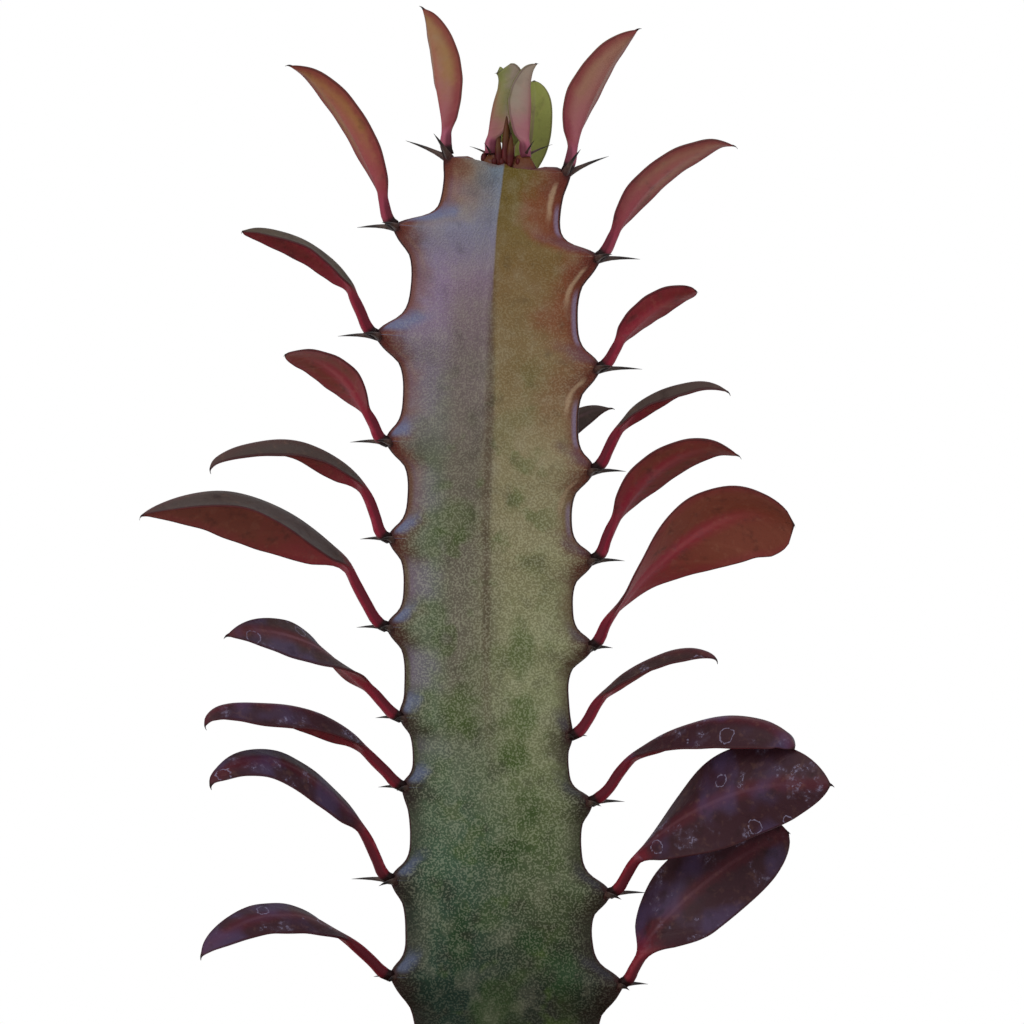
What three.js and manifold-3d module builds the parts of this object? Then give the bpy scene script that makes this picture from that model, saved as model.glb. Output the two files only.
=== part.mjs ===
// Potted rubra african milk tree: one three-ribbed stem with toothed ribs, paired spines and spoon-shaped
// leaves, standing in potting mix in a plain terracotta pot. Millimetres, +Z up, the origin in the middle of
// the pot's underside, and the concave face between the left and the right rib towards -Y.

import * as THREE from 'three';
import { mergeVertices } from 'three/addons/utils/BufferGeometryUtils.js';
import Module from 'manifold-3d';

// Driving dimensions of the pot and the potting mix
const POT_HEIGHT = 105;
const POT_TOP_RADIUS = 62;
const POT_FOOT_RADIUS = 42;
const POT_WALL = 5;
const POT_FLOOR = 7;
const RIM_HEIGHT = 22;
const RIM_STEP = 3.5;
const DRAIN_RADIUS = 4;
const DRAIN_CIRCLE = 22;
const DRAIN_COUNT = 3;
const EDGE_BEVEL = 1.5;
const SOIL_TOP = 91;
const SOIL_MOUND = 2.5;
const MOUND_RADIUS = 24;
const SOIL_SLOPE = 8;
const TURN_SEGMENTS = 40;
const GAP = 0.3;

// Driving dimensions of the stem
const STEM_FOOT = 64;
const FOOT_REACH = 17;
const RIDGE_HALF = 0.9;
const SHOULDER_DROP = 2.4;
const SHOULDER_HALF = 2.1;
const FULL_REACH = 14;
const CROWN_TAPER = 0.94;
const CROWN_SAG = 1.4;

// A rib's flank between its shoulder (0) and the crease beside it (1): where it swells, and by how much
const FLANK_SWELL = [[0.36, 0.7], [0.7, 0.56]];
const SWELL_AIM = new THREE.Vector2(0.3, 0.95);

// How deep the crease lies, as a share of the ribs' reach, low on the stem and high on it
const CREASE_SHARES = [0.47, 0.33];
const CREASE_HEIGHTS = [120, 290];

// Driving dimensions of the spines and the leaf seats
const SPINE_LENGTH = 8.2;
const SPINE_RADIUS = 0.75;
const SPINE_SPREAD = 40;
const SPINE_SUNK = 1.8;
const SPINE_DROP = 0.5;
const SPINE_RISE = 0.03;
const TOP_SPINE_RISE = 0.45;
const YOUNG_SPINE_SIZE = 0.5;
const SEAT_RADIUS = 1.4;
const SEAT_FLARE = 1.3;
const SEAT_SUNK = 2.6;
const YOUNG_SEAT_SIZE = 0.75;

// Driving dimensions that all leaves share
const PETIOLE_RADIUS = 1.2;
const BLADE_HALF_THICKNESS = 0.38;
const INNER_THICKENING = 1.1;
const MIDRIB_DEPTH = 1;
const TIP_HALF = 0.35;
const TIP_THINNING = 0.45;
const WAVE_HEIGHT = 0.16;
const WAVE_TURNS = 14;
const WAVE_SHIFT = 1.7;

// How full a blade is at its base and towards its tip, where it starts around the petiole's end, where its
// roll is complete, and how far out its halves bend and with what share of the fold
const BASE_FULLNESS = 0.85;
const TIP_FULLNESS = 1.8;
const BLUNT = 2.1;
const BLADE_START = 0.7;
const BLADE_RUN = 0.14;
const ROLL_END = 0.7;
const BEND_SHARE = 0.52;
const BEND_FOLD = 0.9;

// The stem's bow: height and how far the axis stands to the side
const AXIS_BOW = [[64, 0], [92, -0.3], [127, -1.3], [149, -2.9], [171, -3.6], [202, -5.5],
  [238, -5.5], [262, -4.8], [285, -4.4], [303, -3.3], [317, -1.5]];

// Each rib's teeth from the lowest up: height, reach from the axis, and the rib's reach in the waist above it
const RIBS = [
  { name: 'left', azimuth: 210, front: 1,
    teeth: [[112, 25, 22.4], [140.2, 27.9, 23.1], [160.9, 26.7, 21.2], [180.7, 22.8, 19.4],
      [195.7, 22.4, 20.4], [215.3, 25.2, 20.6], [234.4, 24.8, 19.8], [255.3, 26, 21.6],
      [278.1, 29.2, 20.3], [301.7, 26.1, 14.6], [317, 15.4, 15.4]],
    crown: [[12.2, 318.2], [6.6, 315.6], [4.2, 318.6]] },
  { name: 'right', azimuth: -30, front: -1,
    teeth: [[110, 26, 22.8], [138.7, 30.4, 23.1], [158.1, 28.6, 21.2], [177.6, 25, 19.2],
      [191.8, 20.9, 20.3], [211, 27, 21.4], [229.7, 27.2, 21.1], [249, 26.8, 22],
      [271, 27.7, 21.4], [294.8, 26.8, 15.6], [313.5, 17.1, 17.1]],
    crown: [[13.4, 315], [8.6, 314.6], [5.8, 318.4]] },
  { name: 'back', azimuth: 82, front: 1,
    teeth: [[104, 25, 22.6], [130.5, 28, 23], [149.5, 28, 21.6], [169.5, 26, 20],
      [186.5, 24, 20.3], [203.5, 25.5, 21], [222.5, 26, 20.6], [242, 26.5, 21.6],
      [263.5, 27.5, 21.4], [286.5, 27, 18.5], [307, 18.5, 18.5]],
    crown: [[14, 309.6], [8.5, 312], [4.6, 317.4]] },
];

// How a rib runs from one tooth to the next: share of the way up, how much is left of the lower tooth,
// and how much there is of the upper one
const TOOTH_RUN = [[0, 1, 0], [0.09, 0.72, 0], [0.19, 0.26, 0], [0.42, 0.02, 0], [0.72, 0, 0.13],
  [0.88, 0, 0.68]];
const FOOT_RUN = [0, 0.35, 0.65, 0.86];

// Leaf buds at the apex: where each stands from the axis, its lean and its length
const BUD_RADIUS = 1.1;
const BUD_FOOT = 315.5;
const BUDS = [
  { foot: [-2, -0.8], lean: [0.12, 0.04], length: 8.5 },
  { foot: [0.1, -2.6], lean: [0.04, 0.06], length: 9 },
  { foot: [1.4, -2], lean: [-0.1, 0.05], length: 8.5 },
];

// Every leaf: its rib and tooth counted from the top, the blade's half width, its roll at the petiole and at
// the blade (front edge up), how far its halves fold down (up where negative), where along it the petiole
// ends and where it is widest, and the midrib as points out from the tooth's tip, up from it and to the front
const LEAVES = [
  { rib: 'left', tooth: 0, half: 5.2, roll: [0, 0], fold: -50, petiole: 0.1, widest: 0.66, blunt: 7,
    path: [[0.1, 2], [-0.8, 6], [-1.9, 11], [-2.8, 14.8], [-2.9, 16.4], [-2.6, 17.3], [-1.9, 18]] },
  { rib: 'left', tooth: 1, half: 5.5, roll: [8, 21], fold: -39, petiole: 0.16, widest: 0.55,
    path: [[-0.6, 2.5], [-0.6, 5.3], [-0.3, 7.9], [0.5, 12.2], [1.3, 16.3], [1.9, 21], [2.8, 25.3],
      [3.9, 29.5], [5.6, 32.6]] },
  { rib: 'left', tooth: 2, half: 4.8, roll: [8, 14], fold: -14, petiole: 0.14, widest: 0.5,
    path: [[0.7, 1.3], [1.8, 4.9], [2.7, 8.1], [5.4, 13.5], [9.2, 19.9], [14.2, 26.1], [19.6, 30.7],
      [25, 32.7]] },
  { rib: 'left', tooth: 3, half: 4.4, roll: [0, 10], fold: 38, petiole: 0.19, widest: 0.45,
    path: [[1.1, 1.1], [3, 4.7], [4.5, 7.7], [5.4, 10.6], [7.7, 13.5], [11.7, 16.6], [16.9, 19.3],
      [22.5, 20.8], [27.8, 21.3], [31, 20.6]] },
  { rib: 'left', tooth: 4, half: 5.4, roll: [8, 22], fold: 8, petiole: 0.18, widest: 0.52, blunt: 2.8,
    path: [[1, 0.6], [2.6, 3.6], [4.3, 6.4], [6.3, 9.3], [8.5, 12.1], [11.1, 14.4], [14.9, 16.6],
      [19.1, 17.8], [23.8, 18]] },
  { rib: 'left', tooth: 5, half: 4.7, roll: [10, -2], fold: 42, petiole: 0.17, widest: 0.4, blunt: 2.6,
    path: [[1.3, 0.9], [2.8, 4.7], [4.7, 9.2], [7.9, 13.8], [13.4, 17.6], [19.3, 20], [24.6, 20.7],
      [31.1, 20], [37.3, 18.3], [40.7, 16.2], [41.7, 13.7]] },
  { rib: 'left', tooth: 6, half: 10, roll: [4, 24], fold: 44, petiole: 0.17, widest: 0.54,
    path: [[1.6, 0.9], [4.6, 5.2], [7, 9.3], [9.6, 14.4], [14.2, 18.5], [22.6, 23.9], [32.3, 27.6],
      [39.6, 28.7], [47.7, 27.6], [54.3, 25.3], [57, 23.5]] },
  { rib: 'left', tooth: 7, half: 5.3, roll: [22, -52], fold: 8, petiole: 0.15, widest: 0.52,
    path: [[1.3, 0.8], [4, 3.4], [6.3, 5.8], [9.3, 8.3], [13.1, 11.2], [17.1, 14], [21.6, 16.4],
      [26.1, 18], [30.5, 19], [35.5, 19.3], [41.1, 18.4]] },
  { rib: 'left', tooth: 8, half: 6.3, roll: [12, -6], fold: 38, petiole: 0.17, widest: 0.5, blunt: 2.6,
    path: [[1.2, 0.9], [3.7, 3.4], [6.1, 5.6], [8.7, 8.3], [11.4, 11.4], [14.7, 13.8], [19.4, 16.3],
      [26, 18.2], [32.9, 19], [39.8, 19.2], [43.6, 18.4], [45.7, 16.6], [46.1, 14.1]] },
  { rib: 'left', tooth: 9, half: 5.1, roll: [-45, -38], fold: 11, petiole: 0.18, widest: 0.48, blunt: 2.4,
    path: [[1.3, 1.2], [3.2, 4.9], [5.6, 9.7], [8.1, 13.3], [11.3, 16.5], [15.4, 20.1], [20.5, 23.7],
      [25.2, 26.1], [30, 27.1], [35.1, 26.7], [39, 25], [41.2, 23.5], [42, 21.6]] },
  { rib: 'left', tooth: 10, half: 5, roll: [-10, -34], fold: 7, petiole: 0.2, widest: 0.46, blunt: 2.4,
    path: [[1.3, 0.9], [4.3, 3.8], [7.2, 6.4], [10.3, 9], [13.6, 11.2], [17.6, 13.2], [21.8, 14.5],
      [26.3, 14.9], [29.9, 14.9], [33.8, 14], [38.1, 12.3], [41.8, 10.1], [44.2, 7.4]] },
  { rib: 'right', tooth: 0, half: 4.3, roll: [0, 0], fold: -50, petiole: 0.08, widest: 0.5,
    path: [[0.6, 1.2], [0.4, 6], [0, 11], [0.2, 15.4], [0.9, 18], [2.3, 19.8]] },
  { rib: 'right', tooth: 1, half: 5.4, roll: [8, 16], fold: -28, petiole: 0.17, widest: 0.46,
    path: [[-0.4, 2.1], [0.4, 5.4], [1.4, 8.4], [3, 12.4], [4.9, 16.2], [7.1, 19.8], [9.7, 23.5],
      [12.9, 26.9], [16.8, 30.2]] },
  { rib: 'right', tooth: 2, half: 4.5, roll: [10, 18], fold: -4, petiole: 0.15, widest: 0.46,
    path: [[0.8, 1.3], [2.5, 4.2], [3.8, 6.5], [6.1, 9.6], [9.4, 13.3], [13.3, 16.5], [17.9, 19.3],
      [22.9, 21.3], [27.3, 22.5], [32.2, 21.7]] },
  { rib: 'right', tooth: 3, half: 3.7, roll: [20, 28], fold: -8, petiole: 0.17, widest: 0.5, blunt: 3.4,
    path: [[1.2, 1], [3.2, 3.8], [4.6, 5.9], [7, 8.3], [10.4, 10.9], [14.1, 13.1], [17.7, 14.7],
      [22.8, 15.7]] },
  { rib: 'right', tooth: 4, half: 3.8, roll: [8, -10], fold: 38, petiole: 0.19, widest: 0.46,
    path: [[1.3, 1.4], [3.1, 4.5], [4.5, 7.1], [6.1, 9.6], [8.3, 12.4], [11.4, 14.7], [15.5, 16.6],
      [20.2, 17.8], [25.1, 18.3], [28.8, 17.6], [32.2, 15.8]] },
  { rib: 'right', tooth: 5, half: 4.9, roll: [14, 34], fold: 0, petiole: 0.16, widest: 0.5,
    path: [[1.2, 1.4], [2.6, 4.7], [3.9, 7.3], [5.8, 10.4], [8.5, 14], [12.2, 17.5], [16.4, 20.4],
      [20.4, 22.3], [24.6, 23.5], [28.8, 23.7], [34.6, 21.8]] },
  { rib: 'right', tooth: 6, half: 10, roll: [-12, 50], fold: 17, petiole: 0.12, widest: 0.74, blunt: 3,
    path: [[0.8, 1.4], [2.6, 5], [4.6, 7.8], [7.5, 11.3], [11.2, 15.2], [15.4, 18.6], [19.9, 21.9],
      [24.8, 24.9], [30.2, 27.4], [36.1, 28.8], [41.8, 28], [47, 26.3]] },
  { rib: 'right', tooth: 7, half: 4.6, roll: [0, -12], fold: 26, petiole: 0.2, widest: 0.52, blunt: 2.4,
    path: [[1.3, 0.7], [3.6, 3.4], [5.8, 7], [9, 10.7], [13, 13.9], [18.4, 16.7], [24.6, 18.8],
      [29.7, 19.1], [33.2, 18.2], [34.9, 16.7]] },
  { rib: 'right', tooth: 8, half: 7.3, roll: [5, -20], fold: 31, petiole: 0.18, widest: 0.6, blunt: 3.2,
    path: [[1.2, 0.9], [3.7, 3.1], [6.1, 6.4], [9.8, 10.5], [15.5, 14.4], [22.8, 17.4], [30.7, 19.1],
      [37, 19], [42, 17.9], [45.6, 15.8], [47.2, 13.2]] },
  { rib: 'right', tooth: 9, half: 9.9, roll: [-45, -90], fold: 20, petiole: 0.12, widest: 0.6, blunt: 2.4,
    path: [[1.2, 0.9, 0], [3.4, 4, 0.2], [5.5, 7.1, 0.5], [9.1, 10.8, 1], [15.6, 15.9, 1.6],
      [23.2, 20.2, 2], [32, 23.8, 2], [41.4, 25.7, 1.6], [51.9, 26, 1]] },
  { rib: 'right', tooth: 10, half: 9.3, roll: [-70, -92], fold: 4, petiole: 0.09, widest: 0.46,
    path: [[1, 1.3, 0], [2.1, 3.3, 0], [3.2, 5.8, -1], [5.4, 11, -3.2], [9, 15.9, -6],
      [13.8, 20.8, -8.4], [19.7, 25.7, -10.4], [26, 29.8, -12], [32.7, 33.3, -13]] },
  { rib: 'back', tooth: 0, half: 3.6, roll: [0, 0], fold: -20, petiole: 0.14, widest: 0.62,
    path: [[0.8, 1.2, 0], [1.6, 5.6, -0.2], [1.8, 10, -0.4], [1.5, 13, -0.4], [1.1, 15, -0.4]] },
  { rib: 'back', tooth: 1, half: 5, roll: [0, 0], fold: -24, petiole: 0.16, widest: 0.62, blunt: 2.8,
    path: [[0.4, 1.6, 0], [0.8, 8, -2], [0.9, 16, -4.2], [1.2, 24, -5], [2, 31.2, -5]] },
  { rib: 'back', tooth: 2, half: 5.2, roll: [0, 8], fold: -18, petiole: 0.18, widest: 0.54,
    path: [[1, 1.4], [2.8, 7], [6, 14], [10.8, 21], [16.8, 26.4], [23.4, 29.2]] },
  { rib: 'back', tooth: 3, half: 5.2, roll: [5, 15], fold: 18, petiole: 0.2, widest: 0.54,
    path: [[1.3, 1.2], [3, 5.6], [6.2, 11], [11.4, 16.6], [18.2, 20.6], [25.8, 22.2], [31.8, 21]] },
  { rib: 'back', tooth: 4, half: 3.6, roll: [0, 0], fold: 10, petiole: 0.2, widest: 0.56,
    path: [[1.3, 1.2, 0], [2.8, 4.8, -1.4], [5.2, 9.8, -4.4], [8.4, 14.8, -9], [11.2, 19.1, -14.4],
      [12.8, 21.7, -19.6], [13.4, 22.3, -24]] },
  { rib: 'back', tooth: 5, half: 5.8, roll: [8, 20], fold: 30, petiole: 0.19, widest: 0.52,
    path: [[1.4, 1.2], [3.2, 5.6], [6.2, 11.6], [11.4, 17.2], [19.8, 21.2], [29.2, 22.2], [36.8, 19.6]] },
  { rib: 'back', tooth: 6, half: 8.4, roll: [0, -12], fold: 28, petiole: 0.18, widest: 0.54,
    path: [[1.4, 1.2], [3.6, 5.6], [7, 11.4], [13.2, 18], [23, 24], [34, 27], [44, 26], [51, 21.6]] },
  { rib: 'back', tooth: 7, half: 5.8, roll: [-10, -20], fold: 26, petiole: 0.19, widest: 0.56,
    path: [[1.4, 1], [3.6, 4.6], [7.2, 9], [13.4, 14], [21.4, 17.6], [31, 18.4], [39.4, 16]] },
  { rib: 'back', tooth: 8, half: 7.4, roll: [12, 34], fold: 20, petiole: 0.17, widest: 0.58,
    path: [[1.4, 1], [3.6, 4.8], [7.2, 10.4], [13.2, 16.4], [22, 21.2], [32.4, 22.8], [41.8, 20]] },
  { rib: 'back', tooth: 9, half: 7.2, roll: [0, -16], fold: 24, petiole: 0.18, widest: 0.54,
    path: [[1.4, 1], [3.6, 4.6], [7.4, 9.8], [14.2, 15], [23.4, 18.6], [34, 18.8], [44.2, 14.4]] },
];

// Stations as shares of a leaf's petiole and of its blade, and its section as angles around the petiole
const PETIOLE_STATIONS = [0, 0.5, 0.95];
const BLADE_STATIONS = [0.05, 0.17, 0.34, 0.52, 0.7, 0.85, 0.95, 1];
const PETIOLE_ANGLES = [20, 55, 90, 125, 160, 200, 235, 270, 305, 340];

const COLOURS = {
  pot: 0xb4653f,
  soil: 0x4a3a2d,
  stem: 0x6f6a4c,
  leaf: 0x5e2226,
  youngLeaf: 0x7f7a52,
};

const wasm = await Module();
wasm.setup();

const radians = THREE.MathUtils.degToRad;
const lerp = THREE.MathUtils.lerp;
const smoothstep = THREE.MathUtils.smoothstep;

// A closed mesh as a solid for joins and cuts, and back
function toSolid(geometry) {
  const bare = geometry.clone();
  bare.deleteAttribute('normal');
  bare.deleteAttribute('uv');
  const merged = mergeVertices(bare, 1e-4);
  const vertProperties = new Float32Array(merged.attributes.position.array);
  const triVerts = new Uint32Array(merged.index.array);
  return new wasm.Manifold(new wasm.Mesh({ numProp: 3, vertProperties, triVerts }));
}

function toGeometry(solid) {
  const mesh = solid.getMesh();
  const geometry = new THREE.BufferGeometry();
  geometry.setAttribute('position', new THREE.Float32BufferAttribute(mesh.vertProperties, 3));
  geometry.setIndex(new THREE.Uint32BufferAttribute(mesh.triVerts, 1));
  return geometry;
}

function namedMesh(name, geometry, colour, roughness) {
  const material = new THREE.MeshStandardMaterial({ color: colour, roughness, metalness: 0 });
  const mesh = new THREE.Mesh(geometry, material);
  mesh.name = name;
  return mesh;
}

// A solid skinned over rings of points that all run the same way round, closed by a fan at each end
function loftGeometry(rings) {
  const count = rings[0].length;
  const points = rings.flat();
  const index = [];
  for (let j = 0; j + 1 < rings.length; j += 1) {
    for (let i = 0; i < count; i += 1) {
      const a = j * count + i;
      const b = j * count + ((i + 1) % count);
      const c = b + count;
      const d = a + count;
      index.push(a, b, c, a, c, d);
    }
  }
  const ends = [[0, true], [rings.length - 1, false]];
  for (const [j, first] of ends) {
    const centre = new THREE.Vector3();
    rings[j].forEach((p) => centre.add(p));
    centre.divideScalar(count);
    const tip = points.push(centre) - 1;
    for (let i = 0; i < count; i += 1) {
      const a = j * count + i;
      const b = j * count + ((i + 1) % count);
      index.push(...(first ? [tip, b, a] : [tip, a, b]));
    }
  }
  const geometry = new THREE.BufferGeometry();
  geometry.setAttribute('position', new THREE.Float32BufferAttribute(points.flatMap((p) => p.toArray()), 3));
  geometry.setIndex(index);
  return geometry;
}

// A value read between the rows of a table that rises in its first column
function readTable(table, at) {
  const last = table.length - 1;
  if (at <= table[0][0]) return table[0][1];
  if (at >= table[last][0]) return table[last][1];
  const row = table.findIndex(([key]) => key > at);
  const [k0, v0] = table[row - 1];
  const [k1, v1] = table[row];
  return lerp(v0, v1, (at - k0) / (k1 - k0));
}

function axisPoint(height) {
  return new THREE.Vector3(readTable(AXIS_BOW, height), 0, height);
}

function direction(azimuth) {
  return new THREE.Vector3(Math.cos(radians(azimuth)), Math.sin(radians(azimuth)), 0);
}

// A rib's run from the stem's foot to its crown: height, reach, and the reach without its teeth
function ribRun(rib) {
  const { teeth, crown } = rib;
  const run = [];
  const [firstHeight, , firstWaist] = teeth[0];
  for (const share of FOOT_RUN) {
    const reach = lerp(FOOT_REACH, firstWaist, smoothstep(share, 0, 1));
    run.push({ height: lerp(STEM_FOOT, firstHeight, share), reach, smooth: reach });
  }
  for (let i = 0; i + 1 < teeth.length; i += 1) {
    const [lowHeight, lowReach, waist] = teeth[i];
    const [highHeight, highReach] = teeth[i + 1];
    const before = i > 0 ? teeth[i - 1][2] : waist;
    const after = i + 2 < teeth.length ? teeth[i + 1][2] : waist;
    for (const [share, low, high] of TOOTH_RUN) {
      const smooth = share < 0.5
        ? lerp((before + waist) / 2, waist, share * 2)
        : lerp(waist, (waist + after) / 2, share * 2 - 1);
      const reach = waist + low * (lowReach - waist) + high * (highReach - waist);
      run.push({ height: lerp(lowHeight, highHeight, share), reach, smooth });
    }
  }
  const [topHeight, topReach] = teeth[teeth.length - 1];
  run.push({ height: topHeight, reach: topReach, smooth: topReach * CROWN_TAPER });
  for (const [reach, height] of crown) run.push({ height, reach, smooth: reach, sag: CROWN_SAG });
  return run;
}

// One flank of a rib's section: points along the rib and across it, each with its share of the way to the
// crease
function flankSection(step, crease, creaseAngle, grow) {
  const scale = Math.min(1, step.reach / FULL_REACH);
  const drop = SHOULDER_DROP * scale;
  const ridge = new THREE.Vector2(step.reach + grow, (RIDGE_HALF + grow) * scale);
  const shoulder = new THREE.Vector2(step.reach - drop + grow, (SHOULDER_HALF + grow) * scale);
  const inner = new THREE.Vector2(Math.min(step.smooth, step.reach) - drop, shoulder.y);
  const low = new THREE.Vector2(Math.cos(creaseAngle), Math.sin(creaseAngle)).multiplyScalar(crease + grow);
  const swelling = FLANK_SWELL.map(([share, swell]) => [
    inner.clone().lerp(low, share).addScaledVector(SWELL_AIM, swell * scale + grow),
    share,
  ]);
  return [[ridge, 0], [shoulder, 0], ...swelling, [low, 1]];
}

// The flank set in place beside its rib, on the side that the sign gives. In the crown it sags half-way
function flankPoints(rib, step, sign, creaseHeight, section) {
  const along = direction(rib.azimuth);
  const across = new THREE.Vector3(-along.y, along.x, 0).multiplyScalar(sign);
  const { sag = 0 } = step;
  return section.map(([point, toCrease]) => {
    const height = lerp(step.height, creaseHeight, toCrease) - sag * 4 * toCrease * (1 - toCrease);
    return axisPoint(height).addScaledVector(along, point.x).addScaledVector(across, point.y);
  });
}

// The stem's rings of points from the foot up, grown outwards where a hole for it is wanted
function stemRings(grow, count) {
  const runs = RIBS.map(ribRun);
  const total = count ?? runs[0].length;
  const rings = [];
  for (let j = 0; j < total; j += 1) {
    const ring = RIBS.flatMap((rib, k) => {
      const after = (k + 1) % RIBS.length;
      const step = runs[k][j];
      const nextStep = runs[after][j];
      const halfTurn = radians(((RIBS[after].azimuth - rib.azimuth + 720) % 360) / 2);
      const creaseHeight = (step.height + nextStep.height) / 2;
      const share = lerp(...CREASE_SHARES, smoothstep(creaseHeight, ...CREASE_HEIGHTS));
      const crease = share * (step.smooth + nextStep.smooth) / 2;
      const down = flankPoints(rib, step, 1, creaseHeight, flankSection(step, crease, halfTurn, grow));
      const up = flankSection(nextStep, crease, halfTurn, grow).slice(0, -1).reverse();
      return [...down, ...flankPoints(RIBS[after], nextStep, -1, creaseHeight, up)];
    });
    rings.push(ring);
  }
  return rings;
}

// A shape that stands on +Y, laid from one point to another
function laidBetween(shape, from, to) {
  const along = to.clone().sub(from);
  const half = along.length() / 2;
  const turn = new THREE.Quaternion().setFromUnitVectors(new THREE.Vector3(0, 1, 0), along.normalize());
  return shape.translate(0, half, 0).applyQuaternion(turn).translate(from.x, from.y, from.z);
}

// Where a tooth stands, and where its leaf's foot is
function toothPoint(rib, tooth, out, up) {
  const count = rib.teeth.length;
  const [height, reach] = tooth > 0
    ? rib.teeth[count - tooth]
    : [rib.crown[2][1], rib.crown[2][0]];
  return axisPoint(height + up).addScaledVector(direction(rib.azimuth), reach + out);
}

function spinePair(rib, tooth) {
  const size = tooth > 0 ? 1 : YOUNG_SPINE_SIZE;
  return [-1, 1].map((side) => {
    const aim = direction(rib.azimuth + side * SPINE_SPREAD);
    aim.z = tooth > 1 ? SPINE_RISE : TOP_SPINE_RISE;
    const root = toothPoint(rib, tooth, -SPINE_SUNK * size, -SPINE_DROP);
    const tip = root.clone().addScaledVector(aim, (SPINE_LENGTH + SPINE_SUNK) * size);
    return laidBetween(new THREE.ConeGeometry(SPINE_RADIUS * size, root.distanceTo(tip), 4), root, tip);
  });
}

// A leaf's midrib as a curve in space
function leafCurve(leaf) {
  const rib = RIBS.find(({ name }) => name === leaf.rib);
  const tip = toothPoint(rib, leaf.tooth, 0, 0);
  const out = direction(rib.azimuth);
  const side = new THREE.Vector3(-out.y, out.x, 0).multiplyScalar(rib.front);
  const points = leaf.path.map(([along, up, aside = 0]) => tip.clone()
    .addScaledVector(out, along)
    .addScaledVector(side, aside)
    .add(new THREE.Vector3(0, 0, up)));
  return { curve: new THREE.CatmullRomCurve3(points, false, 'centripetal'), side, rib };
}

function seatGeometry(leaf) {
  const { curve } = leafCurve(leaf);
  const radius = SEAT_RADIUS * (leaf.tooth > 0 ? 1 : YOUNG_SEAT_SIZE);
  const end = curve.getPointAt(0);
  const root = end.clone().addScaledVector(curve.getTangentAt(0), -SEAT_SUNK);
  return laidBetween(new THREE.CylinderGeometry(radius, radius * SEAT_FLARE, SEAT_SUNK, 5), root, end);
}

function budGeometry({ foot, lean, length }) {
  const root = axisPoint(BUD_FOOT).add(new THREE.Vector3(foot[0], foot[1], 0));
  const tip = root.clone().add(new THREE.Vector3(lean[0], lean[1], 1).multiplyScalar(length));
  return laidBetween(new THREE.ConeGeometry(BUD_RADIUS, root.distanceTo(tip), 5), root, tip);
}

function stemMesh() {
  let stem = toSolid(loftGeometry(stemRings(0)));
  for (const bud of BUDS) stem = stem.add(toSolid(budGeometry(bud)));
  for (const rib of RIBS) {
    for (let tooth = 0; tooth <= rib.teeth.length; tooth += 1) {
      for (const pin of spinePair(rib, tooth)) stem = stem.add(toSolid(pin));
    }
  }
  for (const leaf of LEAVES) stem = stem.add(toSolid(seatGeometry(leaf)));
  return namedMesh('stem', toGeometry(stem), COLOURS.stem, 0.5);
}

// How wide a blade is along the leaf, as a share of its half width
function bladeShare(leaf, at) {
  const { petiole, widest, blunt = BLUNT } = leaf;
  if (at <= petiole) return 0;
  if (at < widest) return Math.sin((Math.PI / 2) * ((at - petiole) / (widest - petiole)) ** BASE_FULLNESS);
  return Math.max(0, 1 - ((at - widest) / (1 - widest)) ** blunt) ** (TIP_FULLNESS / blunt);
}

// One section of a leaf: a round petiole that turns into a thin blade with a keeled midrib
function leafRing(leaf, curve, side, front, at) {
  const centre = curve.getPointAt(at);
  const along = curve.getTangentAt(at);
  const across = side.clone().addScaledVector(along, -side.dot(along)).normalize();
  const upper = new THREE.Vector3().crossVectors(along, across).multiplyScalar(front);
  const roll = radians(lerp(leaf.roll[0], leaf.roll[1], smoothstep(at, leaf.petiole, ROLL_END)));
  const wide = across.clone().multiplyScalar(Math.cos(roll)).addScaledVector(upper, Math.sin(roll));
  const thick = upper.clone().multiplyScalar(Math.cos(roll)).addScaledVector(across, -Math.sin(roll));
  const flare = PETIOLE_RADIUS * (1 - smoothstep(at, leaf.petiole, leaf.widest));
  const half = Math.max(TIP_HALF, Math.hypot(flare, leaf.half * bladeShare(leaf, at)));
  const blade = smoothstep(at, leaf.petiole * BLADE_START, leaf.petiole + BLADE_RUN);
  const taper = 1 - TIP_THINNING * smoothstep(at, 0.85, 1);
  const fold = radians(leaf.fold);
  const wave = WAVE_HEIGHT * (half / leaf.half) * Math.sin(WAVE_TURNS * at + WAVE_SHIFT * leaf.tooth);
  const bends = [[half * BEND_SHARE, fold * BEND_FOLD], [half, fold]];
  const droop = bends.map(([reach, angle]) => [reach * Math.cos(angle), -reach * Math.sin(angle)]);
  const [[midX, midY], [edgeX, edgeY]] = droop;
  const edge = BLADE_HALF_THICKNESS * taper;
  const keel = MIDRIB_DEPTH * taper;
  const inner = edge * INNER_THICKENING;
  const flat = [
    [edgeX, edgeY + wave + edge],
    [midX, midY + inner],
    [0, inner],
    [-midX, midY + inner],
    [-edgeX, edgeY - wave + edge],
    [-edgeX, edgeY - wave - edge],
    [-midX, midY - inner],
    [0, -keel],
    [midX, midY - inner],
    [edgeX, edgeY + wave - edge],
  ];
  const points = flat.map(([x, y], i) => {
    const angle = radians(PETIOLE_ANGLES[i]);
    const px = lerp(PETIOLE_RADIUS * Math.cos(angle), x, blade);
    const py = lerp(PETIOLE_RADIUS * Math.sin(angle), y, blade);
    return centre.clone().addScaledVector(wide, px).addScaledVector(thick, py);
  });
  return front > 0 ? points : points.reverse();
}

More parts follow.
